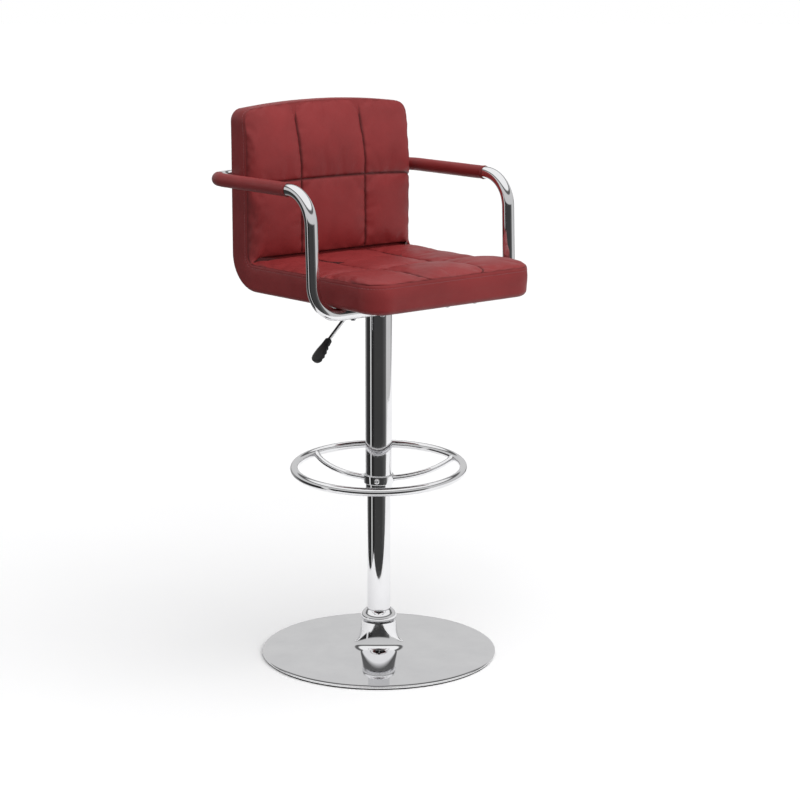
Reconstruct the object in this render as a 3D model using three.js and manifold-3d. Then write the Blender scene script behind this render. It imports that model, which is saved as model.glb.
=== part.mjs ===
// Adjustable swivel stool: round pedestal, gas lift column, ring footrest, quilted L-shaped seat, two armrests.
// Millimetres, +Z up, origin on the column axis at floor level. The stool's front faces -Y.
import * as THREE from 'three';
import { mergeVertices } from 'three/addons/utils/BufferGeometryUtils.js';
import Module from 'manifold-3d';

const wasm = await Module();
wasm.setup();

// ---------------------------------------------------------------- driving sizes

const FIT_GAP = 0.3; // air left between pieces that touch
const OVERALL_WIDTH = 508;
const TOP_AT_REST = 1068.45; // 135 above the lowest setting, 80.9 below the highest

const BASE = {
  radius: 228.5,
  rimTop: 6,
  domeRise: 12,
  flareRadius: 34,
  flareRise: 49.2,
  flareDecay: 4.5,
  skin: 2,
  rimBottom: 3,
};
const FLOOR_RING = { inner: 212, outer: 226, height: 2.7 };
const FLANGE = { radius: 34.7, bottom: 67.5, top: 89 };

const LOWER_TUBE = { outer: 22.5, inner: 20.9, bottom: 3, top: 440 };
const BUSHING = { bore: 14.35, length: 60, lip: 3 };
const TUBE_FOOT = { bottom: 14, top: 20, bore: 4.3 };
const BEARING = { outer: 10, bore: 4.4, top: 27.2 };

const ROD = { radius: 5, neckRadius: 4, bottom: 8, shoulder: 27.5, headBottom: 300, headTop: 316, headRadius: 11.2 };
const CLIP = { bottom: 10.5, thickness: 1.3, inner: 3.5, outer: 8, grooveRadius: 3.2 };
const CYLINDER = { radius: 14, bottom: 200, top: 690, bore: 11.5, endThickness: 12, boreTop: 660, rodHole: 5.3 };
const SLEEVE = { outer: 25.8, inner: 24.2, bottom: 322, top: 690 };
const SLEEVE_BUSH = { bore: 22.8, outer: 23.9, length: 12 };
const RELEASE_PIN = { radius: 3, bottom: 679, top: 698.2, holeRadius: 3.4, holeBottom: 672 };

const FOOTREST = {
  ringRadius: 163,
  tubeRadius: 8,
  wall: 1.5,
  height: 372,
  tilt: (3 * Math.PI) / 180, // the ring slopes down toward its own front
  collarHeight: 350,
  collarOuter: 29,
  collarLength: 17,
  spokeRadius: 5.5,
  frontAngle: (222.5 * Math.PI) / 180, // heading of the footrest's own front, from +X
  spokeAngle: (57.5 * Math.PI) / 180, // where a spoke meets the ring, either side of the ring's rear
};

const SEAT = {
  halfWidth: 200,
  front: -222,
  bottom: 716,
  rear: 200,
  bandDepth: 53,
  cornerRadius: 70,
  frontCorner: 45,
  rearCorner: 11,
  topCorner: 18,
  lowerEdge: 16, // rounding of the long lower edges, seen from the front
  toeEdge: 10, // rounding of the front lower edge, seen from the side
  edgeTop: 1058,
  wall: 4,
};
const PLY = { nearDepth: 4.4, farDepth: 16.4 };
const FOAM = { nearDepth: 16.8, farDepth: 52.7 };
const PAD = { nearDepth: 53.3, seatTop: 783, backFront: 125, sideRound: 32, leanStart: 945 };
const LEAN = { start: 985, reach: 13 }; // the seam behind the back pad leans away from here up to the top edge
const DUST_COVER = { halfWidth: 168, front: -190, rear: 100, corner: 20, bottom: 717.9, thickness: 2 };

const PLATE = { half: 75, corner: 12, bottom: 714.5, thickness: 3, hubRadius: 23.9, hubBottom: 672, boreTop: 711.5 };
const PLATE_BOLT = { offset: 60, shank: 3, hole: 3.4 };
const LEVER = {
  height: 702,
  rodRadius: 3.5,
  innerEnd: 4,
  bendX: -52,
  neck: [-121, 637],
  gripAngle: (49 * Math.PI) / 180,
  pivotX: -19,
  pinRadius: 1.5,
  pinHole: 1.8,
  slotWidth: 11,
  slotBottom: 695.5,
  slotTop: 709.5,
};
const GRIP = { length: 53, neckHalf: 6.5, endHalf: 13.5, thickness: 6.5, boreDepth: 24, ridges: 4 };

const ARM = {
  tubeRadius: 11.8,
  wall: 1.6,
  coverRadius: 13,
  frontHeight: 926.5,
  rearHeight: 929,
  frontY: -97,
  footY: -105,
  footHeight: 703.5,
  rearY: 212.1,
  rearBend: 52,
  frontBend: 62,
  footBend: 58,
  rearEndX: 60,
  footEndX: 45,
};
const ARM_X = OVERALL_WIDTH / 2 - ARM.coverRadius;
const ARM_BEND_STEPS = 5;
const COVER_BEND_STEPS = 2; // how many steps of the rear bend the cover follows
const COVER_HEM = 0.5;
const ARM_SCREW = { shank: 2.5, hole: 2.8, length: 40, seatX: [150, 80], backX: [150, 90] };

// ---------------------------------------------------------------- geometry helpers

function outward(geometry) {
  const plain = geometry.index ? geometry.clone() : mergeVertices(geometry);
  plain.deleteAttribute('normal');
  plain.deleteAttribute('uv');
  const merged = mergeVertices(plain);
  const source = merged.index.array;
  const kept = [];
  for (let i = 0; i < source.length; i += 3) {
    const [a, b, c] = [source[i], source[i + 1], source[i + 2]];
    if (a !== b && b !== c && c !== a) {
      kept.push(a, b, c);
    }
  }
  if (signedVolume(merged.attributes.position, kept) < 0) {
    kept.reverse();
  }
  merged.setIndex(kept);
  return merged;
}

function signedVolume(position, index) {
  const [a, b, c] = [new THREE.Vector3(), new THREE.Vector3(), new THREE.Vector3()];
  let sum = 0;
  for (let i = 0; i < index.length; i += 3) {
    a.fromBufferAttribute(position, index[i]);
    b.fromBufferAttribute(position, index[i + 1]);
    c.fromBufferAttribute(position, index[i + 2]);
    sum += a.dot(b.cross(c));
  }
  return sum / 6;
}

function toSolid(geometry) {
  const closed = outward(geometry);
  const vertProperties = new Float32Array(closed.attributes.position.array);
  const triVerts = new Uint32Array(closed.index.array);
  return new wasm.Manifold(new wasm.Mesh({ numProp: 3, vertProperties, triVerts }));
}

function fromSolid(solid) {
  const mesh = solid.getMesh();
  const geometry = new THREE.BufferGeometry();
  geometry.setAttribute('position', new THREE.BufferAttribute(new Float32Array(mesh.vertProperties), 3));
  geometry.setIndex(new THREE.BufferAttribute(new Uint32Array(mesh.triVerts), 1));
  return geometry;
}

function cut(geometry, tools) {
  return fromSolid(tools.reduce((solid, tool) => solid.subtract(toSolid(tool)), toSolid(geometry)));
}

function common(geometries) {
  return fromSolid(geometries.map(toSolid).reduce((solid, other) => solid.intersect(other)));
}

function joined(geometries) {
  return fromSolid(geometries.map(toSolid).reduce((solid, other) => solid.add(other)));
}

// Turns a list of [radius, height] corners about the Z axis.
function revolve(profile, segments) {
  const points = profile.map(([radius, height]) => new THREE.Vector2(radius, height));
  return new THREE.LatheGeometry(points, segments).rotateX(Math.PI / 2);
}

// A plain ring: a tube length, washer or bush.
function ring(inner, outer, bottom, top, segments) {
  return revolve([[inner, bottom], [outer, bottom], [outer, top], [inner, top], [inner, bottom]], segments);
}

function alongZ(shape, bottom, top, curveSegments = 6) {
  const options = { depth: top - bottom, bevelEnabled: false, curveSegments };
  return new THREE.ExtrudeGeometry(shape, options).translate(0, 0, bottom);
}

// The shape is drawn in Y and Z and carried along X.
function alongX(shape, start, end, curveSegments = 6) {
  const toYZ = new THREE.Matrix4().makeBasis(
    new THREE.Vector3(0, 1, 0),
    new THREE.Vector3(0, 0, 1),
    new THREE.Vector3(1, 0, 0),
  );
  return alongZ(shape, start, end, curveSegments).applyMatrix4(toYZ);
}

// The shape is drawn in X and Z and carried along Y.
function alongY(shape, start, end, curveSegments = 6) {
  return alongZ(shape, -end, -start, curveSegments).rotateX(Math.PI / 2);
}

// A round bar from one point to another.
function bar(from, to, radius, segments = 16) {
  const direction = to.clone().sub(from);
  const turn = new THREE.Quaternion().setFromUnitVectors(new THREE.Vector3(0, 1, 0), direction.clone().normalize());
  const middle = from.clone().addScaledVector(direction, 0.5);
  return new THREE.CylinderGeometry(radius, radius, direction.length(), segments)
    .applyQuaternion(turn)
    .translate(middle.x, middle.y, middle.z);
}

// Straight runs between corner points, with each inner corner rounded to its bend radius.
class BentPath extends THREE.Curve {
  constructor(corners, bendRadii, stepsPerBend) {
    super();
    this.stations = [];
    const last = corners.length - 1;
    this.addStation(corners[0], corners[1].clone().sub(corners[0]).normalize());
    for (let i = 1; i < last; i += 1) {
      const arriving = corners[i].clone().sub(corners[i - 1]).normalize();
      const leaving = corners[i + 1].clone().sub(corners[i]).normalize();
      this.addBend(corners[i], arriving, leaving, bendRadii[i - 1], stepsPerBend);
    }
    this.addStation(corners[last], corners[last].clone().sub(corners[last - 1]).normalize());
  }

  addStation(point, tangent) {
    this.stations.push({ point: point.clone(), tangent: tangent.clone() });
  }

  addBend(corner, arriving, leaving, radius, steps) {
    const turn = arriving.angleTo(leaving);
    const setback = radius * Math.tan(turn / 2);
    const start = corner.clone().addScaledVector(arriving, -setback);
    const inward = leaving.clone().addScaledVector(arriving, -arriving.dot(leaving)).normalize();
    for (let k = 0; k <= steps; k += 1) {
      const angle = (turn * k) / steps;
      const point = start
        .clone()
        .addScaledVector(arriving, radius * Math.sin(angle))
        .addScaledVector(inward, radius * (1 - Math.cos(angle)));
      const tangent = arriving.clone().multiplyScalar(Math.cos(angle)).addScaledVector(inward, Math.sin(angle));
      this.addStation(point, tangent);
    }
  }

  get steps() {
    return this.stations.length - 1;
  }

  getPointAt(fraction) {
    return this.stations[Math.round(fraction * this.steps)].point.clone();
  }

  getTangentAt(fraction) {
    return this.stations[Math.round(fraction * this.steps)].tangent.clone();
  }
}

function circle(radius) {
  return new THREE.Shape().absarc(0, 0, radius, 0, 2 * Math.PI, false);
}

// A round rod or, with an inner radius, a tube that follows the path.
function swept(path, radius, innerRadius = 0, curveSegments = 8) {
  const section = circle(radius);
  if (innerRadius > 0) {
    section.holes.push(circle(innerRadius));
  }
  return new THREE.ExtrudeGeometry(section, { steps: path.steps, extrudePath: path, curveSegments });
}

// A domed head on a plain shank. The head's flat side sits at `seat` and the shank runs on along `direction`.
function screw(seat, direction, headRadius, headHeight, shankRadius, shankLength) {
  const dome = [[0, -headHeight], [headRadius * 0.6, -headHeight * 0.85], [headRadius, -headHeight * 0.3]];
  const rest = [[headRadius, 0], [shankRadius, 0], [shankRadius, shankLength], [0, shankLength]];
  const turn = new THREE.Quaternion().setFromUnitVectors(new THREE.Vector3(0, 0, 1), direction);
  return revolve([...dome, ...rest], 8).applyQuaternion(turn).translate(seat.x, seat.y, seat.z);
}

// ---------------------------------------------------------------- materials

function material(color, roughness, metalness) {
  return new THREE.MeshStandardMaterial({ color, roughness, metalness });
}

const chrome = () => material(0xdedee0, 0.08, 1);
const blackSteel = () => material(0x1b1b1d, 0.5, 0.6);
const plainSteel = () => material(0x9a9ca0, 0.4, 1);
const blackPlastic = () => material(0x161617, 0.55, 0);
const rubber = () => material(0x1a1a1a, 0.85, 0);
const vinyl = () => material(0x7a2430, 0.42, 0);
const foam = () => material(0xd9cfa8, 0.95, 0);
const plywood = () => material(0xb58d5c, 0.7, 0);
const dustCloth = () => material(0x151515, 0.95, 0);

const stool = new THREE.Group();
stool.name = 'swivel_stool';

function addNode(name, geometry, nodeMaterial) {
  const mesh = new THREE.Mesh(outward(geometry), nodeMaterial);
  mesh.name = name;
  stool.add(mesh);
}

// ---------------------------------------------------------------- pedestal base

// Height of the base's top skin: a shallow dome that flares up around the column.
function skinHeight(radius) {
  const dome = BASE.domeRise * (1 - radius / BASE.radius);
  const flare = BASE.flareRise * Math.exp(-(radius - BASE.flareRadius) / BASE.flareDecay);
  return BASE.rimTop + dome + flare;
}

function skinSlope(radius) {
  const flare = BASE.flareRise * Math.exp(-(radius - BASE.flareRadius) / BASE.flareDecay);
  return -BASE.domeRise / BASE.radius - flare / BASE.flareDecay;
}

function baseCover() {
  const steps = 14;
  const outerSkin = [];
  const innerSkin = [];
  for (let i = 0; i <= steps; i += 1) {
    const radius = BASE.flareRadius + (BASE.radius - BASE.flareRadius) * (i / steps) ** 2.6;
    const slope = skinSlope(radius);
    const scale = BASE.skin / Math.hypot(slope, 1);
    outerSkin.push([radius, skinHeight(radius)]);
    innerSkin.push([radius + slope * scale, skinHeight(radius) - scale]);
  }
  const lipTop = skinHeight(BASE.flareRadius);
  const lipInner = LOWER_TUBE.outer + FIT_GAP;
  const profile = [
    [BASE.radius - BASE.skin, BASE.rimBottom],
    [BASE.radius, BASE.rimBottom],
    ...outerSkin.reverse(),
    [lipInner, lipTop],
    [lipInner, lipTop - BASE.skin],
    [innerSkin[0][0], lipTop - BASE.skin],
    ...innerSkin.slice(1, steps),
    [BASE.radius - BASE.skin, skinHeight(BASE.radius) - BASE.skin],
    [BASE.radius - BASE.skin, BASE.rimBottom],
  ];
  return revolve(profile, 40);
}

function flangeRing() {
  const inner = LOWER_TUBE.outer + FIT_GAP;
  const { radius, bottom, top } = FLANGE;
  const height = top - bottom;
  const profile = [
    [inner, bottom],
    [radius * 0.95, bottom],
    [radius, bottom + height * 0.12],
    [radius, bottom + height * 0.42],
    [radius * 0.95, bottom + height * 0.62],
    [radius * 0.84, bottom + height * 0.84],
    [radius * 0.72, top],
    [inner, top],
    [inner, bottom],
  ];
  return revolve(profile, 28);
}

addNode('base_cover', baseCover(), chrome());
addNode('base_weight', ring(24, 160, 2.9, 7.2, 36), blackSteel());
addNode('floor_ring', ring(FLOOR_RING.inner, FLOOR_RING.outer, 0, FLOOR_RING.height, 40), rubber());
addNode('flange_ring', flangeRing(), chrome());

// ---------------------------------------------------------------- column and gas lift

function guideBushing() {
  const body = LOWER_TUBE.inner - FIT_GAP;
  const { top } = LOWER_TUBE;
  const lipTop = top + FIT_GAP + BUSHING.lip;
  const profile = [
    [BUSHING.bore, top - BUSHING.length],
    [body, top - BUSHING.length],
    [body, top + FIT_GAP],
    [LOWER_TUBE.outer, top + FIT_GAP],
    [LOWER_TUBE.outer, lipTop],
    [BUSHING.bore, lipTop],
    [BUSHING.bore, top - BUSHING.length],
  ];
  return revolve(profile, 24);
}

function pistonRod() {
  const grooveBottom = CLIP.bottom - 0.1;
  const grooveTop = CLIP.bottom + CLIP.thickness + 0.1;
  const profile = [
    [0, ROD.bottom],
    [ROD.neckRadius, ROD.bottom],
    [ROD.neckRadius, grooveBottom],
    [CLIP.grooveRadius, grooveBottom],
    [CLIP.grooveRadius, grooveTop],
    [ROD.neckRadius, grooveTop],
    [ROD.neckRadius, ROD.shoulder],
    [ROD.radius, ROD.shoulder],
    [ROD.radius, ROD.headBottom],
    [ROD.headRadius, ROD.headBottom],
    [ROD.headRadius, ROD.headTop],
    [0, ROD.headTop],
  ];
  return revolve(profile, 20);
}

// An open clip that snaps into the rod's groove from one side.
function rodClip() {
  const mouth = 0.7;
  const shape = new THREE.Shape();
  shape.absarc(0, 0, CLIP.outer, mouth, 2 * Math.PI - mouth, false);
  shape.absarc(0, 0, CLIP.inner, 2 * Math.PI - mouth, mouth, true);
  shape.closePath();
  return alongZ(shape, CLIP.bottom, CLIP.bottom + CLIP.thickness, 9);
}

function gasCylinder() {
  const profile = [
    [0, RELEASE_PIN.holeBottom],
    [RELEASE_PIN.holeRadius, RELEASE_PIN.holeBottom],
    [RELEASE_PIN.holeRadius, CYLINDER.top],
    [CYLINDER.radius, CYLINDER.top],
    [CYLINDER.radius, CYLINDER.bottom],
    [CYLINDER.rodHole, CYLINDER.bottom],
    [CYLINDER.rodHole, CYLINDER.bottom + CYLINDER.endThickness],
    [CYLINDER.bore, CYLINDER.bottom + CYLINDER.endThickness],
    [CYLINDER.bore, CYLINDER.boreTop],
    [0, CYLINDER.boreTop],
  ];
  return revolve(profile, 24);
}

function upperSleeve() {
  const tube = ring(SLEEVE.inner, SLEEVE.outer, SLEEVE.bottom, SLEEVE.top, 32);
  return cut(tube, [collarScrewHole()]);
}

addNode('lower_tube', ring(LOWER_TUBE.inner, LOWER_TUBE.outer, LOWER_TUBE.bottom, LOWER_TUBE.top, 32), chrome());
addNode('tube_foot', ring(TUBE_FOOT.bore, LOWER_TUBE.inner - FIT_GAP, TUBE_FOOT.bottom, TUBE_FOOT.top, 20), plainSteel());
addNode('thrust_bearing', ring(BEARING.bore, BEARING.outer, TUBE_FOOT.top + FIT_GAP, BEARING.top, 20), plainSteel());
addNode('guide_bushing', guideBushing(), blackPlastic());
addNode('piston_rod', pistonRod(), plainSteel());
addNode('rod_clip', rodClip(), plainSteel());
addNode('gas_cylinder', gasCylinder(), blackSteel());
addNode('upper_sleeve', upperSleeve(), chrome());
addNode(
  'sleeve_bush',
  ring(SLEEVE_BUSH.bore, SLEEVE_BUSH.outer, SLEEVE.bottom + FIT_GAP, SLEEVE.bottom + SLEEVE_BUSH.length, 24),
  blackPlastic(),
);
addNode(
  'release_pin',
  bar(new THREE.Vector3(0, 0, RELEASE_PIN.bottom), new THREE.Vector3(0, 0, RELEASE_PIN.top), RELEASE_PIN.radius, 12),
  plainSteel(),
);

// ---------------------------------------------------------------- footrest

// A point of the footrest, given forward and to its left of the column axis.
function footrestPoint(forward, left, height) {
  const cos = Math.cos(FOOTREST.frontAngle);
  const sin = Math.sin(FOOTREST.frontAngle);
  return new THREE.Vector3(forward * cos - left * sin, forward * sin + left * cos, height);
}

function collarScrewHole() {
  const inside = footrestPoint(SLEEVE.inner - 2, 0, FOOTREST.collarHeight);
  const outside = footrestPoint(FOOTREST.collarOuter + 2, 0, FOOTREST.collarHeight);
  return bar(inside, outside, ARM_SCREW.hole, 12);
}

function footrestTorus(tubeRadius, around) {
  const torus = new THREE.TorusGeometry(FOOTREST.ringRadius, tubeRadius, around, 40);
  return torus.rotateY(FOOTREST.tilt).rotateZ(FOOTREST.frontAngle).translate(0, 0, FOOTREST.height);
}

// A closed loop of tube with the small plating drain hole on its underside.
function footrestRing() {
  const drainTop = footrestPoint(0, FOOTREST.ringRadius, FOOTREST.height);
  const drain = bar(drainTop.clone().setZ(FOOTREST.height - 2 * FOOTREST.tubeRadius), drainTop, 1.5, 8);
  return cut(footrestTorus(FOOTREST.tubeRadius, 10), [
    footrestTorus(FOOTREST.tubeRadius - FOOTREST.wall, 6),
    drain,
  ]);
}

function footrestCollar() {
  const half = FOOTREST.collarLength / 2;
  const middle = FOOTREST.collarHeight;
  const tube = ring(SLEEVE.outer + FIT_GAP, FOOTREST.collarOuter, middle - half, middle + half, 32);
  return cut(tube, [collarScrewHole()]);
}

// One half of the curved bar that carries the ring: level with the ring at one end, lower at the collar.
function footrestSpoke(side) {
  const reach = FOOTREST.ringRadius * Math.sin(FOOTREST.spokeAngle);
  const behind = FOOTREST.ringRadius * Math.cos(FOOTREST.spokeAngle);
  const setback = behind * Math.cos(FOOTREST.tilt);
  const arcRadius = (reach ** 2 + setback ** 2) / (2 * setback);
  const drop = FOOTREST.height + behind * Math.sin(FOOTREST.tilt) - FOOTREST.collarHeight;
  const points = [];
  for (let i = 0; i <= 9; i += 1) {
    const left = FOOTREST.collarOuter - 4 + ((reach - FOOTREST.collarOuter + 4) * i) / 9;
    const back = arcRadius - Math.sqrt(arcRadius ** 2 - left ** 2);
    points.push(footrestPoint(-back, side * left, FOOTREST.collarHeight + (drop * back) / setback));
  }
  const path = new THREE.CatmullRomCurve3(points);
  const rod = new THREE.ExtrudeGeometry(circle(FOOTREST.spokeRadius), { steps: 9, extrudePath: path, curveSegments: 5 });
  const half = FOOTREST.collarLength;
  const column = new THREE.CylinderGeometry(FOOTREST.collarOuter + FIT_GAP, FOOTREST.collarOuter + FIT_GAP, 2 * half, 32);
  column.rotateX(Math.PI / 2).translate(0, 0, FOOTREST.collarHeight);
  return cut(rod, [column, footrestTorus(FOOTREST.tubeRadius + FIT_GAP, 10)]);
}

function collarScrew() {
  const seat = footrestPoint(FOOTREST.collarOuter + FIT_GAP, 0, FOOTREST.collarHeight);
  const inward = footrestPoint(-1, 0, 0);
  const shankLength = FOOTREST.collarOuter + FIT_GAP - SLEEVE.inner - FIT_GAP;
  return screw(seat, inward, 5, 3, ARM_SCREW.shank, shankLength);
}

addNode('footrest_ring', footrestRing(), chrome());
addNode('footrest_collar', footrestCollar(), chrome());
addNode('footrest_spoke_left', footrestSpoke(1), chrome());
addNode('footrest_spoke_right', footrestSpoke(-1), chrome());
addNode('collar_screw', collarScrew(), chrome());

// ---------------------------------------------------------------- seat and back outlines

const CORNER_Y = SEAT.rear - SEAT.cornerRadius;
const CORNER_Z = SEAT.bottom + SEAT.cornerRadius;

// The L-shaped strip, seen from the side, that lies between two depths below the seat's outer skin.
function ellStrip(nearDepth, farDepth, front, top, toe = 0) {
  const shape = new THREE.Shape();
  const low = SEAT.bottom + nearDepth;
  shape.moveTo(front + toe, low);
  shape.lineTo(CORNER_Y, low);
  shape.absarc(CORNER_Y, CORNER_Z, SEAT.cornerRadius - nearDepth, -Math.PI / 2, 0, false);
  shape.lineTo(SEAT.rear - nearDepth, top);
  shape.lineTo(SEAT.rear - farDepth, top);
  shape.absarc(CORNER_Y, CORNER_Z, Math.max(SEAT.cornerRadius - farDepth, 1), 0, -Math.PI / 2, true);
  shape.lineTo(front, SEAT.bottom + farDepth);
  if (toe > 0) {
    shape.lineTo(front, low + toe);
    shape.absarc(front + toe, low + toe, toe, Math.PI, 1.5 * Math.PI, false);
  }
  return shape;
}

// The seat and back seen from the front: straight sides, rounded top corners and a gently arched top edge.
function frontOutline(inset) {
  const half = SEAT.halfWidth - inset;
  const low = SEAT.bottom + inset;
  const high = SEAT.edgeTop - inset;
  const corner = SEAT.topCorner - inset;
  const edge = Math.max(SEAT.lowerEdge - inset, 2);
  const crest = 2 * (TOP_AT_REST - inset) - high;
  const shape = new THREE.Shape();
  shape.moveTo(half - edge, low);
  shape.absarc(half - edge, low + edge, edge, -Math.PI / 2, 0, false);
  shape.absarc(half - corner, high - corner, corner, 0, Math.PI / 2, false);
  shape.quadraticCurveTo(0, crest, corner - half, high);
  shape.absarc(corner - half, high - corner, corner, Math.PI / 2, Math.PI, false);
  shape.absarc(edge - half, low + edge, edge, Math.PI, 1.5 * Math.PI, false);
  return shape;
}

// The seat and back seen from above: wide front corners and tighter rear ones.
function planOutline(inset) {
  const half = SEAT.halfWidth - inset;
  const front = SEAT.front + inset;
  const rear = SEAT.rear - inset;
  const wide = SEAT.frontCorner - inset;
  const tight = Math.max(SEAT.rearCorner - inset, 2);
  const shape = new THREE.Shape();
  shape.moveTo(wide - half, front);
  shape.absarc(half - wide, front + wide, wide, -Math.PI / 2, 0, false);
  shape.absarc(half - tight, rear - tight, tight, 0, Math.PI / 2, false);
  shape.absarc(tight - half, rear - tight, tight, Math.PI / 2, Math.PI, false);
  shape.absarc(wide - half, front + wide, wide, Math.PI, 1.5 * Math.PI, false);
  return shape;
}

// Everything of the seat and back that lies inside the side strip and the two outlines.
function seatForm(sideShape, inset) {
  const reach = 300;
  return common([
    alongX(sideShape, -reach, reach, 7),
    alongY(frontOutline(inset), -reach, reach, 4),
    alongZ(planOutline(inset), SEAT.bottom - 100, TOP_AT_REST + 100, 4),
  ]);
}

// Adds the leaning join to a side view drawn upward, from (y, LEAN.start) to the top edge.
function leanCurve(shape, y) {
  const end = TOP_AT_REST + 4;
  return shape.quadraticCurveTo(y, (LEAN.start + end) / 2, y + LEAN.reach, end);
}

// What the leaning back pad takes away from the pieces behind it; y is where they stop below the lean.
function leanCut(y) {
  const shape = new THREE.Shape();
  shape.moveTo(y - 80, LEAN.start);
  shape.lineTo(y, LEAN.start);
  leanCurve(shape, y);
  shape.lineTo(y + LEAN.reach, TOP_AT_REST + 40);
  shape.lineTo(y - 80, TOP_AT_REST + 40);
  return alongX(shape, -300, 300, 6);
}

// A slab that keeps one side of the mitre where seat and back meet, on the corner's 45 degree line.
function mitreBlock(side) {
  const size = 700;
  const offset = (size / 2 + FIT_GAP / 2) * side;
  const block = new THREE.BoxGeometry(size, size, 4 * size);
  block.rotateX(Math.PI / 4);
  const shift = offset / Math.SQRT2;
  return block.translate(0, CORNER_Y + shift, CORNER_Z + shift);
}

// ---------------------------------------------------------------- fixings through the seat and back

function armSeatScrewPoints(side) {
  return ARM_SCREW.seatX.map((x) => new THREE.Vector3(side * x, ARM.footY, ARM.footHeight - ARM.tubeRadius));
}

function armBackScrewPoints(side) {
  return ARM_SCREW.backX.map((x) => new THREE.Vector3(side * x, ARM.rearY + ARM.tubeRadius, ARM.rearHeight));
}

function plateBoltPoints() {
  const signs = [[-1, -1], [1, -1], [1, 1], [-1, 1]];
  return signs.map(([x, y]) => new THREE.Vector3(x * PLATE_BOLT.offset, y * PLATE_BOLT.offset, PLATE.bottom));
}

const BOTH_SIDES = [-1, 1];
const UP = new THREE.Vector3(0, 0, 1);
const FORWARD = new THREE.Vector3(0, -1, 0);

function holesUp(points, radius, length) {
  return points.map((point) => bar(point.clone().addScaledVector(UP, -10), point.clone().addScaledVector(UP, length), radius, 10));
}

const armSeatHoles = BOTH_SIDES.flatMap((side) => holesUp(armSeatScrewPoints(side), ARM_SCREW.hole, 50));
const plateHoles = holesUp(plateBoltPoints(), PLATE_BOLT.hole, 30);
const armBackHoles = BOTH_SIDES.flatMap((side) =>
  armBackScrewPoints(side).map((point) =>
    bar(point.clone().addScaledVector(FORWARD, -10), point.clone().addScaledVector(FORWARD, 43), ARM_SCREW.hole, 10),
  ),
);

// ---------------------------------------------------------------- seat and back pieces

function dustCoverOutline(inset) {
  const half = DUST_COVER.halfWidth - inset;
  const { corner } = DUST_COVER;
  const front = DUST_COVER.front + inset;
  const rear = DUST_COVER.rear - inset;
  const shape = new THREE.Shape();
  shape.moveTo(corner - half, front);
  shape.absarc(half - corner, front + corner, corner, -Math.PI / 2, 0, false);
  shape.absarc(half - corner, rear - corner, corner, 0, Math.PI / 2, false);
  shape.absarc(corner - half, rear - corner, corner, Math.PI / 2, Math.PI, false);
  shape.absarc(corner - half, front + corner, corner, Math.PI, 1.5 * Math.PI, false);
  return shape;
}

// The vinyl band that forms the sides, front edge, top edge, rear face and underside of the L.
function sideBand() {
  const top = TOP_AT_REST + 20;
  const skin = seatForm(ellStrip(0, SEAT.bandDepth, SEAT.front, top, SEAT.toeEdge), 0);
  const inside = seatForm(ellStrip(SEAT.wall, SEAT.bandDepth + 12, SEAT.front - 10, top), SEAT.wall);
  const opening = alongZ(dustCoverOutline(0), SEAT.bottom - 5, SEAT.bottom + SEAT.wall + 2, 3);
  return cut(skin, [inside, opening, leanCut(SEAT.rear - SEAT.bandDepth), ...armBackHoles]);
}

function plyShell() {
  const strip = ellStrip(PLY.nearDepth, PLY.farDepth, SEAT.front - 10, TOP_AT_REST);
  const board = seatForm(strip, SEAT.wall + FIT_GAP);
  const trim = new THREE.BoxGeometry(500, 600, 400).translate(0, 0, 700 + 135);
  return cut(common([board, trim]), [...armSeatHoles, ...plateHoles, ...armBackHoles]);
}

function foamBlock(side) {
  const strip = ellStrip(FOAM.nearDepth, FOAM.farDepth, SEAT.front - 10, TOP_AT_REST + 20);
  const block = common([seatForm(strip, SEAT.wall + FIT_GAP), mitreBlock(side)]);
  return cut(block, [leanCut(SEAT.rear - FOAM.farDepth)]);
}

// Where the seat pad and back pad meet, drawn on the side view.
const PAD_RADIUS = SEAT.cornerRadius - PAD.nearDepth;
const PAD_LOW = SEAT.bottom + PAD.nearDepth;
const PAD_REAR = SEAT.rear - PAD.nearDepth;
const SEAM_ANGLE = 0.02;

function seatPad() {
  const side = new THREE.Shape();
  side.moveTo(SEAT.front, PAD_LOW);
  side.absarc(CORNER_Y, CORNER_Z, PAD_RADIUS, -Math.PI / 2, -Math.PI / 4 - SEAM_ANGLE, false);
  side.lineTo(PAD.backFront + 0.6, PAD.seatTop);
  side.lineTo(SEAT.front + PAD.sideRound, PAD.seatTop);
  side.quadraticCurveTo(SEAT.front, PAD.seatTop, SEAT.front, PAD_LOW);
  const face = new THREE.Shape();
  const half = SEAT.halfWidth;
  face.moveTo(-half, PAD_LOW);
  face.lineTo(half, PAD_LOW);
  face.quadraticCurveTo(half, PAD.seatTop, half - PAD.sideRound, PAD.seatTop);
  face.lineTo(PAD.sideRound - half, PAD.seatTop);
  face.quadraticCurveTo(-half, PAD.seatTop, -half, PAD_LOW);
  return common([
    alongX(side, -300, 300, 6),
    alongY(face, -300, 300, 6),
    alongZ(planOutline(0), SEAT.bottom, TOP_AT_REST, 6),
  ]);
}

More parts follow.
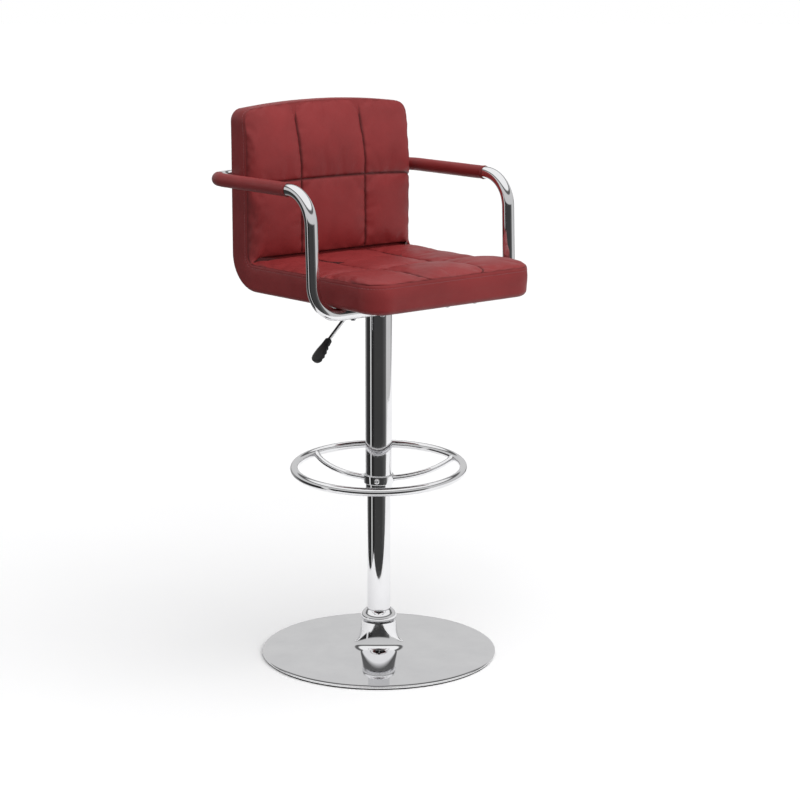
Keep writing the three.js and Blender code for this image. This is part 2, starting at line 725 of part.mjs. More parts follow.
function backPad() {
  const side = new THREE.Shape();
  side.moveTo(PAD.backFront, PAD.seatTop + 0.6);
  side.absarc(CORNER_Y, CORNER_Z, PAD_RADIUS, -Math.PI / 4 + SEAM_ANGLE, 0, false);
  side.lineTo(PAD_REAR, LEAN.start);
  leanCurve(side, PAD_REAR);
  side.quadraticCurveTo(PAD.backFront, PAD.leanStart + 45, PAD.backFront, PAD.leanStart);
  side.lineTo(PAD.backFront, PAD.seatTop + 0.6);
  const plan = new THREE.Shape();
  const half = SEAT.halfWidth;
  plan.moveTo(half, PAD_REAR + 2 * LEAN.reach);
  plan.lineTo(-half, PAD_REAR + 2 * LEAN.reach);
  plan.lineTo(-half, PAD_REAR);
  plan.quadraticCurveTo(-half, PAD.backFront, PAD.sideRound - half, PAD.backFront);
  plan.lineTo(half - PAD.sideRound, PAD.backFront);
  plan.quadraticCurveTo(half, PAD.backFront, half, PAD_REAR);
  return common([
    alongX(side, -300, 300, 6),
    alongY(frontOutline(0.5), -300, 300, 4),
    alongZ(plan, SEAT.bottom, TOP_AT_REST + 10, 5),
  ]);
}

function dustCover() {
  const sheet = alongZ(dustCoverOutline(0.4), DUST_COVER.bottom, DUST_COVER.bottom + DUST_COVER.thickness, 3);
  return cut(sheet, [...armSeatHoles, ...plateHoles]);
}

addNode('side_band', sideBand(), vinyl());
addNode('seat_pad', seatPad(), vinyl());
addNode('back_pad', backPad(), vinyl());
addNode('seat_foam', foamBlock(-1), foam());
addNode('back_foam', foamBlock(1), foam());
addNode('ply_shell', plyShell(), plywood());
addNode('dust_cover', dustCover(), dustCloth());

// ---------------------------------------------------------------- seat plate and its bolts

function seatPlate() {
  const shape = new THREE.Shape();
  const { half, corner, bottom, thickness } = PLATE;
  shape.moveTo(corner - half, -half);
  shape.absarc(half - corner, corner - half, corner, -Math.PI / 2, 0, false);
  shape.absarc(half - corner, half - corner, corner, 0, Math.PI / 2, false);
  shape.absarc(corner - half, half - corner, corner, Math.PI / 2, Math.PI, false);
  shape.absarc(corner - half, corner - half, corner, Math.PI, 1.5 * Math.PI, false);
  const sheet = alongZ(shape, bottom, bottom + thickness, 3);
  const hubHeight = bottom + 1 - PLATE.hubBottom;
  const hub = new THREE.CylinderGeometry(PLATE.hubRadius, PLATE.hubRadius, hubHeight, 32);
  hub.rotateX(Math.PI / 2).translate(0, 0, PLATE.hubBottom + hubHeight / 2);
  const boreBottom = new THREE.Vector3(0, 0, PLATE.hubBottom - 5);
  const bore = bar(boreBottom, new THREE.Vector3(0, 0, PLATE.boreTop), CYLINDER.radius + FIT_GAP, 24);
  const slotHeight = LEVER.slotTop - LEVER.slotBottom;
  const slot = new THREE.BoxGeometry(30, LEVER.slotWidth, slotHeight);
  slot.translate(-15 - 8, 0, (LEVER.slotTop + LEVER.slotBottom) / 2);
  return cut(joined([sheet, hub]), [bore, slot, leverPin(LEVER.pinHole, 60), ...plateHoles]);
}

function leverPin(radius, length) {
  const from = new THREE.Vector3(LEVER.pivotX, -length / 2, LEVER.height);
  return bar(from, from.clone().setY(length / 2), radius, 12);
}

addNode('seat_plate', seatPlate(), blackSteel());
addNode('lever_pivot_pin', leverPin(LEVER.pinRadius, 26), plainSteel());
plateBoltPoints().forEach((point, i) => {
  const seat = point.clone().addScaledVector(UP, -FIT_GAP);
  addNode(`plate_bolt_${i + 1}`, screw(seat, UP, 6, 3.5, PLATE_BOLT.shank, 16), plainSteel());
});

// ---------------------------------------------------------------- lever

function leverNeck() {
  const [x, z] = LEVER.neck;
  return new THREE.Vector3(x, 0, z);
}

function gripAxis() {
  return new THREE.Vector3(-Math.cos(LEVER.gripAngle), 0, -Math.sin(LEVER.gripAngle));
}

function leverRod() {
  const neck = leverNeck();
  const end = neck.clone().addScaledVector(gripAxis(), GRIP.boreDepth - 2);
  const corners = [
    new THREE.Vector3(LEVER.innerEnd, 0, LEVER.height),
    new THREE.Vector3(LEVER.bendX, 0, LEVER.height),
    neck,
    end,
  ];
  const rod = swept(new BentPath(corners, [14, 20], 4), LEVER.rodRadius, 0, 6);
  return cut(rod, [leverPin(LEVER.pinHole, 20)]);
}

// A paddle that widens towards its rounded end, with finger ridges along the underside.
function leverGrip() {
  const { length, neckHalf, endHalf, thickness } = GRIP;
  const paddle = new THREE.Shape();
  paddle.moveTo(0, -neckHalf);
  paddle.lineTo(length * 0.72, -endHalf);
  paddle.quadraticCurveTo(length, -endHalf, length, 0);
  paddle.quadraticCurveTo(length, endHalf, length * 0.72, endHalf);
  paddle.lineTo(0, neckHalf);
  const profile = new THREE.Shape();
  profile.moveTo(0, -thickness * 0.85);
  profile.lineTo(length * 0.8, -thickness);
  profile.quadraticCurveTo(length, -thickness, length, 0);
  profile.quadraticCurveTo(length, thickness, length * 0.9, thickness);
  const ridgeLength = (length * 0.9 - length * 0.2) / GRIP.ridges;
  for (let i = 0; i < GRIP.ridges; i += 1) {
    const start = length * 0.9 - i * ridgeLength;
    profile.quadraticCurveTo(start - ridgeLength / 2, thickness - 3, start - ridgeLength, thickness);
  }
  profile.lineTo(0, thickness * 0.85);
  const bore = bar(new THREE.Vector3(-5, 0, 0), new THREE.Vector3(GRIP.boreDepth, 0, 0), LEVER.rodRadius + FIT_GAP, 12);
  const blank = common([alongZ(paddle, -20, 20, 5), alongY(profile, -20, 20, 4)]);
  const axis = gripAxis();
  const across = new THREE.Vector3(0, 1, 0);
  const place = new THREE.Matrix4().makeBasis(axis, across, axis.clone().cross(across));
  place.setPosition(leverNeck());
  return cut(blank, [bore]).applyMatrix4(place);
}

addNode('lever_rod', leverRod(), chrome());
addNode('lever_grip', leverGrip(), blackPlastic());

// ---------------------------------------------------------------- armrests

function armCorners(side) {
  return [
    new THREE.Vector3(side * ARM.rearEndX, ARM.rearY, ARM.rearHeight),
    new THREE.Vector3(side * ARM_X, ARM.rearY, ARM.rearHeight),
    new THREE.Vector3(side * ARM_X, ARM.frontY, ARM.frontHeight),
    new THREE.Vector3(side * ARM_X, ARM.footY, ARM.footHeight),
    new THREE.Vector3(side * ARM.footEndX, ARM.footY, ARM.footHeight),
  ];
}

function armTube(side) {
  const path = new BentPath(armCorners(side), [ARM.rearBend, ARM.frontBend, ARM.footBend], ARM_BEND_STEPS);
  const tube = swept(path, ARM.tubeRadius, ARM.tubeRadius - ARM.wall, 6);
  return cut(tube, [...armSeatHoles, ...armBackHoles]);
}

// The vinyl cover over the armrest's long straight run and the start of its rear bend.
function armCover(side) {
  const slope = (ARM.rearHeight - ARM.frontHeight) / (ARM.rearY - ARM.frontY);
  const heightAt = (y) => ARM.frontHeight + slope * (y - ARM.frontY);
  const ends = [ARM.frontY + ARM.frontBend, ARM.rearY - ARM.rearBend];
  const [front, rear] = ends.map((y) => new THREE.Vector3(side * ARM_X, y, heightAt(y)));
  const backward = rear.clone().sub(front).normalize();
  const turn = (COVER_BEND_STEPS / ARM_BEND_STEPS) * (Math.PI / 2);
  const reach = ARM.rearBend * Math.tan(turn / 2);
  const leaving = backward.clone().multiplyScalar(Math.cos(turn));
  leaving.add(new THREE.Vector3(-side * Math.sin(turn), 0, 0));
  const corner = rear.clone().addScaledVector(backward, reach);
  const end = corner.clone().addScaledVector(leaving, reach + COVER_HEM);
  const path = new BentPath([front, corner, end], [ARM.rearBend], COVER_BEND_STEPS);
  return swept(path, ARM.coverRadius, ARM.tubeRadius + FIT_GAP, 8);
}

function sideName(side) {
  return side > 0 ? 'left' : 'right';
}

BOTH_SIDES.forEach((side) => {
  const name = sideName(side);
  addNode(`arm_tube_${name}`, armTube(side), chrome());
  addNode(`arm_cover_${name}`, armCover(side), vinyl());
  armSeatScrewPoints(side).forEach((point, i) => {
    const seat = point.clone().addScaledVector(UP, -FIT_GAP);
    addNode(`arm_seat_screw_${name}_${i + 1}`, screw(seat, UP, 5, 3, ARM_SCREW.shank, ARM_SCREW.length), plainSteel());
  });
  armBackScrewPoints(side).forEach((point, i) => {
    const seat = point.clone().addScaledVector(FORWARD, -FIT_GAP);
    addNode(`arm_back_screw_${name}_${i + 1}`, screw(seat, FORWARD, 5, 3, ARM_SCREW.shank, ARM_SCREW.length), plainSteel());
  });
});

export default stool;
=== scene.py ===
"""Looks of the adjustable swivel stool: quilted vinyl seat and back, chrome pedestal, footrest and armrests.

Metres, +Z up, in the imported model's own frame: the column axis is X = Y = 0 and the stool's front faces -Y.
"""

import math

import bmesh
import bpy
import numpy as np
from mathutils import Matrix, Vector, noise


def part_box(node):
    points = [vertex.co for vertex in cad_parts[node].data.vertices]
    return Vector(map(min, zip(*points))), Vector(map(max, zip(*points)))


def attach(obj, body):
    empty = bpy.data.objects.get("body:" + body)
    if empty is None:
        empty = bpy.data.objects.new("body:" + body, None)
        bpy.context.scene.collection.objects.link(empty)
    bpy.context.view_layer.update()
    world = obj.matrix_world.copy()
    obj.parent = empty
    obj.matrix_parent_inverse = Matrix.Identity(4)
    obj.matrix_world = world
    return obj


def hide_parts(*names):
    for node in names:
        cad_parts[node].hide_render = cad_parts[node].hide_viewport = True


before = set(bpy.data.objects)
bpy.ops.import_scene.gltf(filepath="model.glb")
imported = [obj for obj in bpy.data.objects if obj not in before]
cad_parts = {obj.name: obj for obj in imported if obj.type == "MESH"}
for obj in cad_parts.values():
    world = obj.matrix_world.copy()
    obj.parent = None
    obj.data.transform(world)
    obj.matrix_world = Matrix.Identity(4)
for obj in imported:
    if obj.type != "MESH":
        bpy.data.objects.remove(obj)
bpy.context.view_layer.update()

# ---------------------------------------------------------------- driving sizes, from the frame

BAND_LOW, BAND_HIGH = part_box("side_band")
SEAT_PAD_LOW, SEAT_PAD_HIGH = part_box("seat_pad")
BACK_PAD_LOW, BACK_PAD_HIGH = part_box("back_pad")

HALF_WIDTH = BAND_HIGH.x
SEAT_FRONT = BAND_LOW.y
SEAT_REAR = BAND_HIGH.y
SEAT_BOTTOM = BAND_LOW.z
BACK_TOP = BAND_HIGH.z
BAND_DEPTH = 0.053
CORNER_RADIUS = 0.070  # the lower rear sweep, seen from the side
TOP_ARCH = 0.01045  # how much higher the top edge is at the middle than at its corners
FRONT_CORNER = 0.045  # plan radius of the seat's front corners
TOP_CORNER = 0.024
CORNER_Y = SEAT_REAR - CORNER_RADIUS
CORNER_Z = SEAT_BOTTOM + CORNER_RADIUS
SEAM_RADIUS = CORNER_RADIUS - BAND_DEPTH  # the seam's own sweep round the inner corner
SEAM_Z = SEAT_BOTTOM + BAND_DEPTH
SEAM_Y = SEAT_REAR - BAND_DEPTH
PAD_FRONT_Y = BACK_PAD_LOW.y
SEAT_TOP = SEAT_PAD_HIGH.z
PAD_ROUND = 0.026  # how far in from its seam a pad reaches full height
LEAN_START = 0.985  # height where the seam behind the back pad begins to lean away
LEAN_REACH = 0.013
LEAN_END = BACK_TOP + 0.004

QUILT_SEAMS = (-0.0805, 0.0765)  # the two seams that run front to back, and up the back
SEAT_QUILT_Y = -0.078
BACK_QUILT_Z = 0.924

STITCH_PITCH = 0.0056
STITCH_LENGTH = 0.0042
STITCH_RADIUS = 0.00042
TOPSTITCH_OFFSET = 0.0065  # how far the topstitch runs from the edge seam

VIEW_AZIMUTH = math.radians(-40.25)
VIEW_DISTANCE = 3.927
VIEW_HEIGHT = 1.333
VIEW_PITCH = math.radians(11.92)
VIEW_LENS = 94.2
VIEW_SHIFT = 0.0265
TO_CAMERA = Vector((math.sin(VIEW_AZIMUTH), -math.cos(VIEW_AZIMUTH), 0))
TO_RIGHT = Vector((math.cos(VIEW_AZIMUTH), math.sin(VIEW_AZIMUTH), 0))

# ---------------------------------------------------------------- mesh helpers


def new_piece(name, points, faces, body, finish, seam_shade_and_dirt=None):
    """A smooth-shaded mesh in the row frame that rides on a CAD body. The last argument is how far each point is
    darkened near a seam, a painted shade with some dirt.
    """
    mesh = bpy.data.meshes.new(name)
    mesh.from_pydata([tuple(p) for p in points], [], faces)
    mesh.update()
    if seam_shade_and_dirt is not None:
        attribute = mesh.attributes.new("seam_shade_and_dirt", "FLOAT", "POINT")
        attribute.data.foreach_set("value", np.asarray(seam_shade_and_dirt, np.float32))
    clean_up(mesh)
    piece = bpy.data.objects.new(name, mesh)
    bpy.context.scene.collection.objects.link(piece)
    mesh.materials.append(finish)
    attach(piece, body)
    return piece


def clean_up(mesh):
    """Merges doubled points, turns the faces outward and shades them smooth."""
    work = bmesh.new()
    work.from_mesh(mesh)
    bmesh.ops.remove_doubles(work, verts=work.verts, dist=1e-6)
    bmesh.ops.dissolve_degenerate(work, edges=work.edges, dist=1e-7)
    bmesh.ops.recalc_face_normals(work, faces=work.faces)
    for face in work.faces:
        face.smooth = True
    work.to_mesh(mesh)
    work.free()


def grid_faces(rows, columns, wrap_rows=False, wrap_columns=False):
    faces = []
    for i in range(rows if wrap_rows else rows - 1):
        for j in range(columns if wrap_columns else columns - 1):
            below = (i + 1) % rows
            beside = (j + 1) % columns
            faces.append((i * columns + j, i * columns + beside, below * columns + beside, below * columns + j))
    return faces


def rounded(profile, radius, steps=4):
    """A closed outline with each corner eased; radius is one value, or one for each corner."""
    radii = radius if isinstance(radius, (list, tuple)) else [radius] * len(profile)
    eased = []
    for i, corner in enumerate(profile):
        here = Vector(corner)
        before = Vector(profile[i - 1]) - here
        after = Vector(profile[(i + 1) % len(profile)]) - here
        reach = min(radii[i], before.length * 0.45, after.length * 0.45)
        start = here + before.normalized() * reach
        end = here + after.normalized() * reach
        for k in range(steps + 1):
            t = k / steps
            eased.append(start * (1 - t) ** 2 + here * 2 * t * (1 - t) + end * t**2)
    return [tuple(point) for point in eased]


def lathe(name, profile, body, finish, segments=128, centre=(0, 0, 0)):
    """Turns a closed [radius, height] outline about a vertical axis."""
    points = []
    for k in range(segments):
        angle = 2 * math.pi * k / segments
        for radius, height in profile:
            points.append((centre[0] + radius * math.cos(angle), centre[1] + radius * math.sin(angle), centre[2] + height))
    faces = grid_faces(segments, len(profile), wrap_rows=True, wrap_columns=True)
    return new_piece(name, points, faces, body, finish)


def ring_profile(inner, outer, bottom, top):
    return [(inner, bottom), (outer, bottom), (outer, top), (inner, top)]


def bent_path(corners, radii, steps=18, straight=0.012):
    """Straight runs with each inner corner rounded to its bend radius."""
    corners = [Vector(corner) for corner in corners]
    stations = [corners[0]]
    for i in range(1, len(corners) - 1):
        arriving = (corners[i] - corners[i - 1]).normalized()
        leaving = (corners[i + 1] - corners[i]).normalized()
        turn = arriving.angle(leaving)
        radius = radii[i - 1]
        start = corners[i] - arriving * radius * math.tan(turn / 2)
        inward = (leaving - arriving * arriving.dot(leaving)).normalized()
        for k in range(steps + 1):
            angle = turn * k / steps
            stations.append(start + arriving * radius * math.sin(angle) + inward * radius * (1 - math.cos(angle)))
    stations.append(corners[-1])
    path = [stations[0]]
    for a, b in zip(stations, stations[1:]):
        parts = max(1, round((b - a).length / straight))
        path.extend(a.lerp(b, (k + 1) / parts) for k in range(parts))
    return path


def path_frames(path, closed=False):
    """For each path point, two directions square to it that don't twist along the way."""
    count = len(path)
    tangents = []
    for i in range(count):
        ahead = path[(i + 1) % count] if closed or i < count - 1 else path[i]
        behind = path[i - 1] if closed or i > 0 else path[i]
        tangents.append((ahead - behind).normalized())
    seed = Vector((0, 0, 1)) if abs(tangents[0].z) < 0.9 else Vector((0, 1, 0))
    side = (seed - tangents[0] * seed.dot(tangents[0])).normalized()
    frames = []
    for tangent in tangents:
        side = (side - tangent * side.dot(tangent)).normalized()
        frames.append((tangent, side, tangent.cross(side)))
    return frames


def circle_rows(path, radii, around=32, closed=False):
    """One ring of points for each path station."""
    rows = []
    for point, radius, (_, side, other) in zip(path, radii, path_frames(path, closed)):
        for k in range(around):
            angle = 2 * math.pi * k / around
            rows.append(point + side * radius * math.cos(angle) + other * radius * math.sin(angle))
    return rows


def rod(name, path, radius, body, finish, around=32, end_round=0.0015):
    """A solid round bar with eased ends."""
    frames = path_frames(path)
    stations = list(path)
    radii = [radius] * len(path)
    for index, direction in ((0, 1), (-1, -1)):
        tip = stations[index]
        tangent = frames[index][0] * direction
        caps = []
        for k in range(5):
            angle = math.pi / 2 * k / 4
            caps.append((tip + tangent * end_round * (1 - math.sin(angle)), radius - end_round * (1 - math.cos(angle))))
        caps.append((tip, 1e-7))
        points = [cap[0] for cap in caps]
        sizes = [cap[1] for cap in caps]
        if direction > 0:
            stations = points[::-1] + stations[1:]
            radii = sizes[::-1] + radii[1:]
        else:
            stations = stations[:-1] + points
            radii = radii[:-1] + sizes
    body_frames = [frames[0]] * 6 + frames[1:-1] + [frames[-1]] * 6
    rows = []
    for point, size, (_, side, other) in zip(stations, radii, body_frames):
        for k in range(around):
            angle = 2 * math.pi * k / around
            rows.append(point + side * size * math.cos(angle) + other * size * math.sin(angle))
    faces = grid_faces(len(stations), around, wrap_columns=True)
    return new_piece(name, rows, faces, body, finish)


def pipe(name, path, outer, wall, body, finish, around=40, lip=0.0006, swell=None):
    """A hollow tube, open at both ends, with rolled-over end lips. swell(i) adds to the outer radius."""
    last = len(path) - 1
    start = (path[1] - path[0]).normalized()
    end = (path[last] - path[last - 1]).normalized()
    inner = outer - wall
    outside = [path[0], path[0] + start * lip] + list(path[1:last]) + [path[last] - end * lip, path[last]]
    grow = [swell(i / (len(outside) - 1)) if swell else 0 for i in range(len(outside))]
    outside_radii = [outer + g for g in grow]
    outside_radii[0] -= lip
    outside_radii[-1] -= lip
    rows = circle_rows(outside, outside_radii, around)
    inside = circle_rows(path, [inner] * len(path), around)
    rows += [inside[i * around + k] for i in range(last, -1, -1) for k in range(around)]
    faces = grid_faces(len(outside) + len(path), around, wrap_rows=True, wrap_columns=True)
    return new_piece(name, rows, faces, body, finish)


def smoothed(piece, levels=1):
    modifier = piece.modifiers.new("smooth", "SUBSURF")
    modifier.levels = levels
    modifier.render_levels = levels
    return piece


# ---------------------------------------------------------------- materials


class Finish:
    """A node material built around one Principled shader, patterned in the piece's own coordinates."""

    def __init__(self, name, **inputs):
        self.material = bpy.data.materials.new(name)
        self.material.use_nodes = True
        self.tree = self.material.node_tree
        self.shader = self.tree.nodes["Principled BSDF"]
        for key, value in inputs.items():
            self.shader.inputs[key.replace("_", " ")].default_value = value
        self.place = self.tree.nodes.new("ShaderNodeTexCoord").outputs["Object"]

    def node(self, kind, settings=None, **inputs):
        made = self.tree.nodes.new("ShaderNode" + kind)
        for key, value in (settings or {}).items():
            setattr(made, key, value)
        for key, value in inputs.items():
            socket = made.inputs[key.replace("_", " ")]
            if isinstance(value, bpy.types.NodeSocket):
                self.tree.links.new(value, socket)
            else:
                socket.default_value = value
        return made

    def noise(self, scale, detail=3.0, roughness=0.5, place=None):
        return self.node("TexNoise", Vector=place or self.place, Scale=scale, Detail=detail, Roughness=roughness).outputs["Fac"]

    def stretched(self, factors):
        return self.node("Mapping", Vector=self.place, Scale=factors).outputs["Vector"]

    def cells(self, scale, feature="DISTANCE_TO_EDGE"):
        return self.node("TexVoronoi", {"feature": feature}, Vector=self.place, Scale=scale).outputs["Distance"]

    def spread(self, value, low, high, out_low, out_high):
        made = self.node("MapRange", Value=value, From_Min=low, From_Max=high, To_Min=out_low, To_Max=out_high)
        return made.outputs["Result"]

    def math(self, operation, first, second=0.0):
        made = self.tree.nodes.new("ShaderNodeMath")
        made.operation = operation
        for socket, value in zip(made.inputs, (first, second)):
            if isinstance(value, bpy.types.NodeSocket):
                self.tree.links.new(value, socket)
            else:
                socket.default_value = value
        return made.outputs["Value"]

    def ramp(self, factor, stops):
        made = self.node("ValToRGB", Fac=factor)
        elements = made.color_ramp.elements
        while len(elements) < len(stops):
            elements.new(0.5)
        for element, (position, colour) in zip(elements, stops):
            element.position = position
            element.color = (*colour, 1)
        return made.outputs["Color"]

    def set(self, socket, value):
        self.tree.links.new(value, self.shader.inputs[socket])

    def bump(self, height, strength, distance, under=None):
        made = self.node("Bump", Height=height, Strength=strength, Distance=distance)
        if under is not None:
            self.tree.links.new(under, made.inputs["Normal"])
        self.tree.links.new(made.outputs["Normal"], self.shader.inputs["Normal"])
        return made.outputs["Normal"]

    def attribute(self, name):
        return self.node("Attribute", {"attribute_name": name}).outputs["Fac"]


def shades(colour, *factors):
    return [tuple(channel * factor for channel in colour) for factor in factors]


def vinyl_finish():
    """Burgundy upholstery vinyl: pebbled grain, soft creasing, darker in the seams from painted shade and some dirt,
    polished where it is rubbed.
    """
    finish = Finish("burgundy_vinyl", Specular_IOR_Level=0.40)
    base = (0.228, 0.024, 0.025)
    blotch = finish.noise(9.0, 4.0, 0.6)
    dark, plain, light = shades(base, 0.86, 1.0, 1.12)
    colour = finish.ramp(blotch, [(0.3, dark), (0.5, plain), (0.72, light)])
    # Painted seam shade with some dirt: the colour is multiplied toward a dark red where the seam mask is high.
    seam_shade_and_dirt = finish.attribute("seam_shade_and_dirt")
    depth = finish.node("MixRGB", {"blend_type": "MULTIPLY"}, Fac=seam_shade_and_dirt, Color1=colour, Color2=(0.22, 0.12, 0.12, 1))
    finish.set("Base Color", depth.outputs["Color"])
    grain = finish.cells(620.0)
    pores = finish.noise(2400.0, 2.0)
    rub = finish.noise(28.0, 3.0)
    finish.set("Roughness", finish.math("ADD", finish.spread(rub, 0.3, 0.7, 0.38, 0.5), finish.math("MULTIPLY", pores, 0.06)))
    wrinkles = finish.bump(finish.noise(70.0, 4.0, 0.62), 0.22, 0.0012)
    pebbles = finish.bump(finish.spread(grain, 0.0, 0.25, 0.0, 1.0), 0.3, 0.00016, wrinkles)
    finish.bump(pores, 0.12, 0.00008, pebbles)
    return finish.material


def thread_finish():
    finish = Finish("burgundy_thread", Sheen_Weight=0.3)
    twist = finish.node("TexWave", {"bands_direction": "DIAGONAL"}, Vector=finish.place, Scale=900.0, Distortion=1.5)
    finish.set("Base Color", finish.ramp(twist.outputs["Fac"], [(0.2, (0.22, 0.045, 0.050)), (0.8, (0.40, 0.115, 0.120))]))
    finish.set("Roughness", finish.spread(finish.noise(800.0), 0.3, 0.7, 0.45, 0.65))
    finish.bump(twist.outputs["Fac"], 0.4, 0.0001)
    return finish.material


def chrome_finish():
    """Polished chrome: faint plating ripple, wiping marks and a little haze."""
    finish = Finish("polished_chrome", Metallic=1.0)
    haze = finish.noise(14.0, 4.0, 0.6)
    finish.set("Base Color", finish.ramp(haze, [(0.3, (0.80, 0.80, 0.815)), (0.7, (0.87, 0.87, 0.88))]))
    wipes = finish.noise(240.0, 3.0, 0.6, finish.stretched((1.0, 1.0, 0.12)))
    smear = finish.math("MULTIPLY", finish.spread(haze, 0.35, 0.75, 0.0, 1.0), 0.05)
    finish.set("Roughness", finish.math("ADD", finish.spread(wipes, 0.35, 0.75, 0.025, 0.06), smear))
    ripple = finish.bump(finish.noise(22.0, 1.0), 0.05, 0.0006)
    finish.bump(wipes, 0.02, 0.00005, ripple)
    return finish.material


def black_steel_finish():
    """Powder coat: an orange-peel skin, worn a little paler on its high spots."""
    finish = Finish("black_powder_coat", Metallic=0.0)
    peel = finish.cells(900.0, "SMOOTH_F1")
    wear = finish.noise(60.0, 5.0, 0.7)
    finish.set("Base Color", finish.ramp(wear, [(0.45, (0.012, 0.012, 0.013)), (0.8, (0.04, 0.04, 0.042))]))
    finish.set("Roughness", finish.spread(wear, 0.3, 0.8, 0.42, 0.6))
    finish.bump(peel, 0.3, 0.0002)
    return finish.material


def plain_steel_finish():
    """Zinc-plated steel: a spangled grey with turning marks."""
    finish = Finish("zinc_plated_steel", Metallic=1.0)
    spangle = finish.cells(380.0, "F1")
    finish.set("Base Color", finish.ramp(spangle, [(0.1, (0.42, 0.43, 0.45)), (0.6, (0.62, 0.62, 0.63))]))
    turning = finish.noise(900.0, 2.0, 0.5, finish.stretched((0.2, 0.2, 1.0)))
    finish.set("Roughness", finish.spread(turning, 0.3, 0.7, 0.25, 0.42))
    finish.bump(turning, 0.2, 0.0001)
    return finish.material


def black_plastic_finish():
    """Moulded plastic with a fine spark-eroded texture, smoother where a hand rubs it."""
    finish = Finish("black_moulded_plastic", Specular_IOR_Level=0.45)
    texture = finish.noise(1500.0, 3.0, 0.7)
    rub = finish.noise(45.0, 2.0)
    finish.set("Base Color", finish.ramp(rub, [(0.3, (0.014, 0.014, 0.015)), (0.75, (0.027, 0.027, 0.028))]))
    finish.set("Roughness", finish.spread(rub, 0.3, 0.7, 0.38, 0.56))
    finish.bump(texture, 0.35, 0.00015)
    return finish.material


def rubber_finish():
    finish = Finish("black_rubber", Specular_IOR_Level=0.3)
    dust = finish.noise(80.0, 5.0, 0.7)
    finish.set("Base Color", finish.ramp(dust, [(0.4, (0.013, 0.013, 0.013)), (0.8, (0.05, 0.048, 0.045))]))
    finish.set("Roughness", finish.spread(dust, 0.3, 0.7, 0.7, 0.9))
    finish.bump(finish.noise(1200.0, 2.0), 0.3, 0.0002)
    return finish.material


def foam_finish():
    finish = Finish("upholstery_foam", Specular_IOR_Level=0.2, Sheen_Weight=0.2)
    pores = finish.cells(700.0, "F1")
    finish.set("Base Color", finish.ramp(pores, [(0.1, (0.52, 0.45, 0.26)), (0.7, (0.72, 0.65, 0.42))]))
    finish.set("Roughness", finish.spread(pores, 0.0, 1.0, 0.88, 0.98))
    finish.bump(pores, 0.6, 0.0006)
    return finish.material


def plywood_finish():
    finish = Finish("birch_plywood", Specular_IOR_Level=0.3)
    grain = finish.node(
        "TexWave", {"bands_direction": "X"}, Vector=finish.stretched((1.0, 0.15, 0.15)),
        Scale=55.0, Distortion=7.0, Detail=4.0,
    ).outputs["Fac"]
    finish.set("Base Color", finish.ramp(grain, [(0.15, (0.33, 0.19, 0.085)), (0.8, (0.52, 0.34, 0.17))]))
    finish.set("Roughness", finish.spread(grain, 0.0, 1.0, 0.6, 0.75))
    finish.bump(grain, 0.25, 0.0003)
    return finish.material


def dust_cloth_finish():
    """Bonded black lining cloth: short random fibres and small dots from the bonding roller."""
    finish = Finish("black_lining_cloth", Specular_IOR_Level=0.15, Sheen_Weight=0.25, Sheen_Roughness=0.6)
    fibres = finish.noise(1100.0, 6.0, 0.8, finish.stretched((1.0, 0.35, 1.0)))
    dots = finish.cells(420.0, "F1")
    finish.set("Base Color", finish.ramp(fibres, [(0.35, (0.006, 0.006, 0.006)), (0.7, (0.03, 0.03, 0.03))]))
    finish.set("Roughness", finish.spread(fibres, 0.2, 0.8, 0.85, 1.0))
    finish.bump(finish.math("ADD", dots, finish.math("MULTIPLY", fibres, 0.6)), 0.4, 0.0003)
    return finish.material


def floor_finish():
    finish = Finish("pale_floor", Roughness=0.9, Specular_IOR_Level=0.0)
    finish.set("Base Color", finish.ramp(finish.noise(1.3, 2.0), [(0.3, (0.93, 0.93, 0.93)), (0.7, (0.95, 0.95, 0.95))]))
    return finish.material


VINYL = vinyl_finish()
THREAD = thread_finish()
CHROME = chrome_finish()
BLACK_STEEL = black_steel_finish()
PLAIN_STEEL = plain_steel_finish()
BLACK_PLASTIC = black_plastic_finish()
RUBBER = rubber_finish()
FOAM = foam_finish()
PLYWOOD = plywood_finish()
DUST_CLOTH = dust_cloth_finish()

CARRIED_OVER = {
    "base_weight": BLACK_STEEL,
    "floor_ring": RUBBER,
    "tube_foot": PLAIN_STEEL,
    "thrust_bearing": PLAIN_STEEL,
    "guide_bushing": BLACK_PLASTIC,
    "piston_rod": PLAIN_STEEL,
    "rod_clip": PLAIN_STEEL,
    "gas_cylinder": BLACK_STEEL,
    "sleeve_bush": BLACK_PLASTIC,
    "release_pin": PLAIN_STEEL,
    "seat_foam": FOAM,
    "back_foam": FOAM,
    "ply_shell": PLYWOOD,
    "dust_cover": DUST_CLOTH,
    "seat_plate": BLACK_STEEL,
    "lever_pivot_pin": PLAIN_STEEL,
}
for node_name, node_finish in CARRIED_OVER.items():
    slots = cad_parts[node_name].data.materials
    slots.clear()
    slots.append(node_finish)

# ---------------------------------------------------------------- pedestal base and column


def skin_height(radius, rim_radius, flare_radius=0.034):
    """The base's top: a shallow dome that flares up round the column."""
    dome = 0.012 * (1 - radius / rim_radius)
    flare = 0.0492 * math.exp(-(radius - flare_radius) / 0.0045)
    return 0.006 + dome + flare


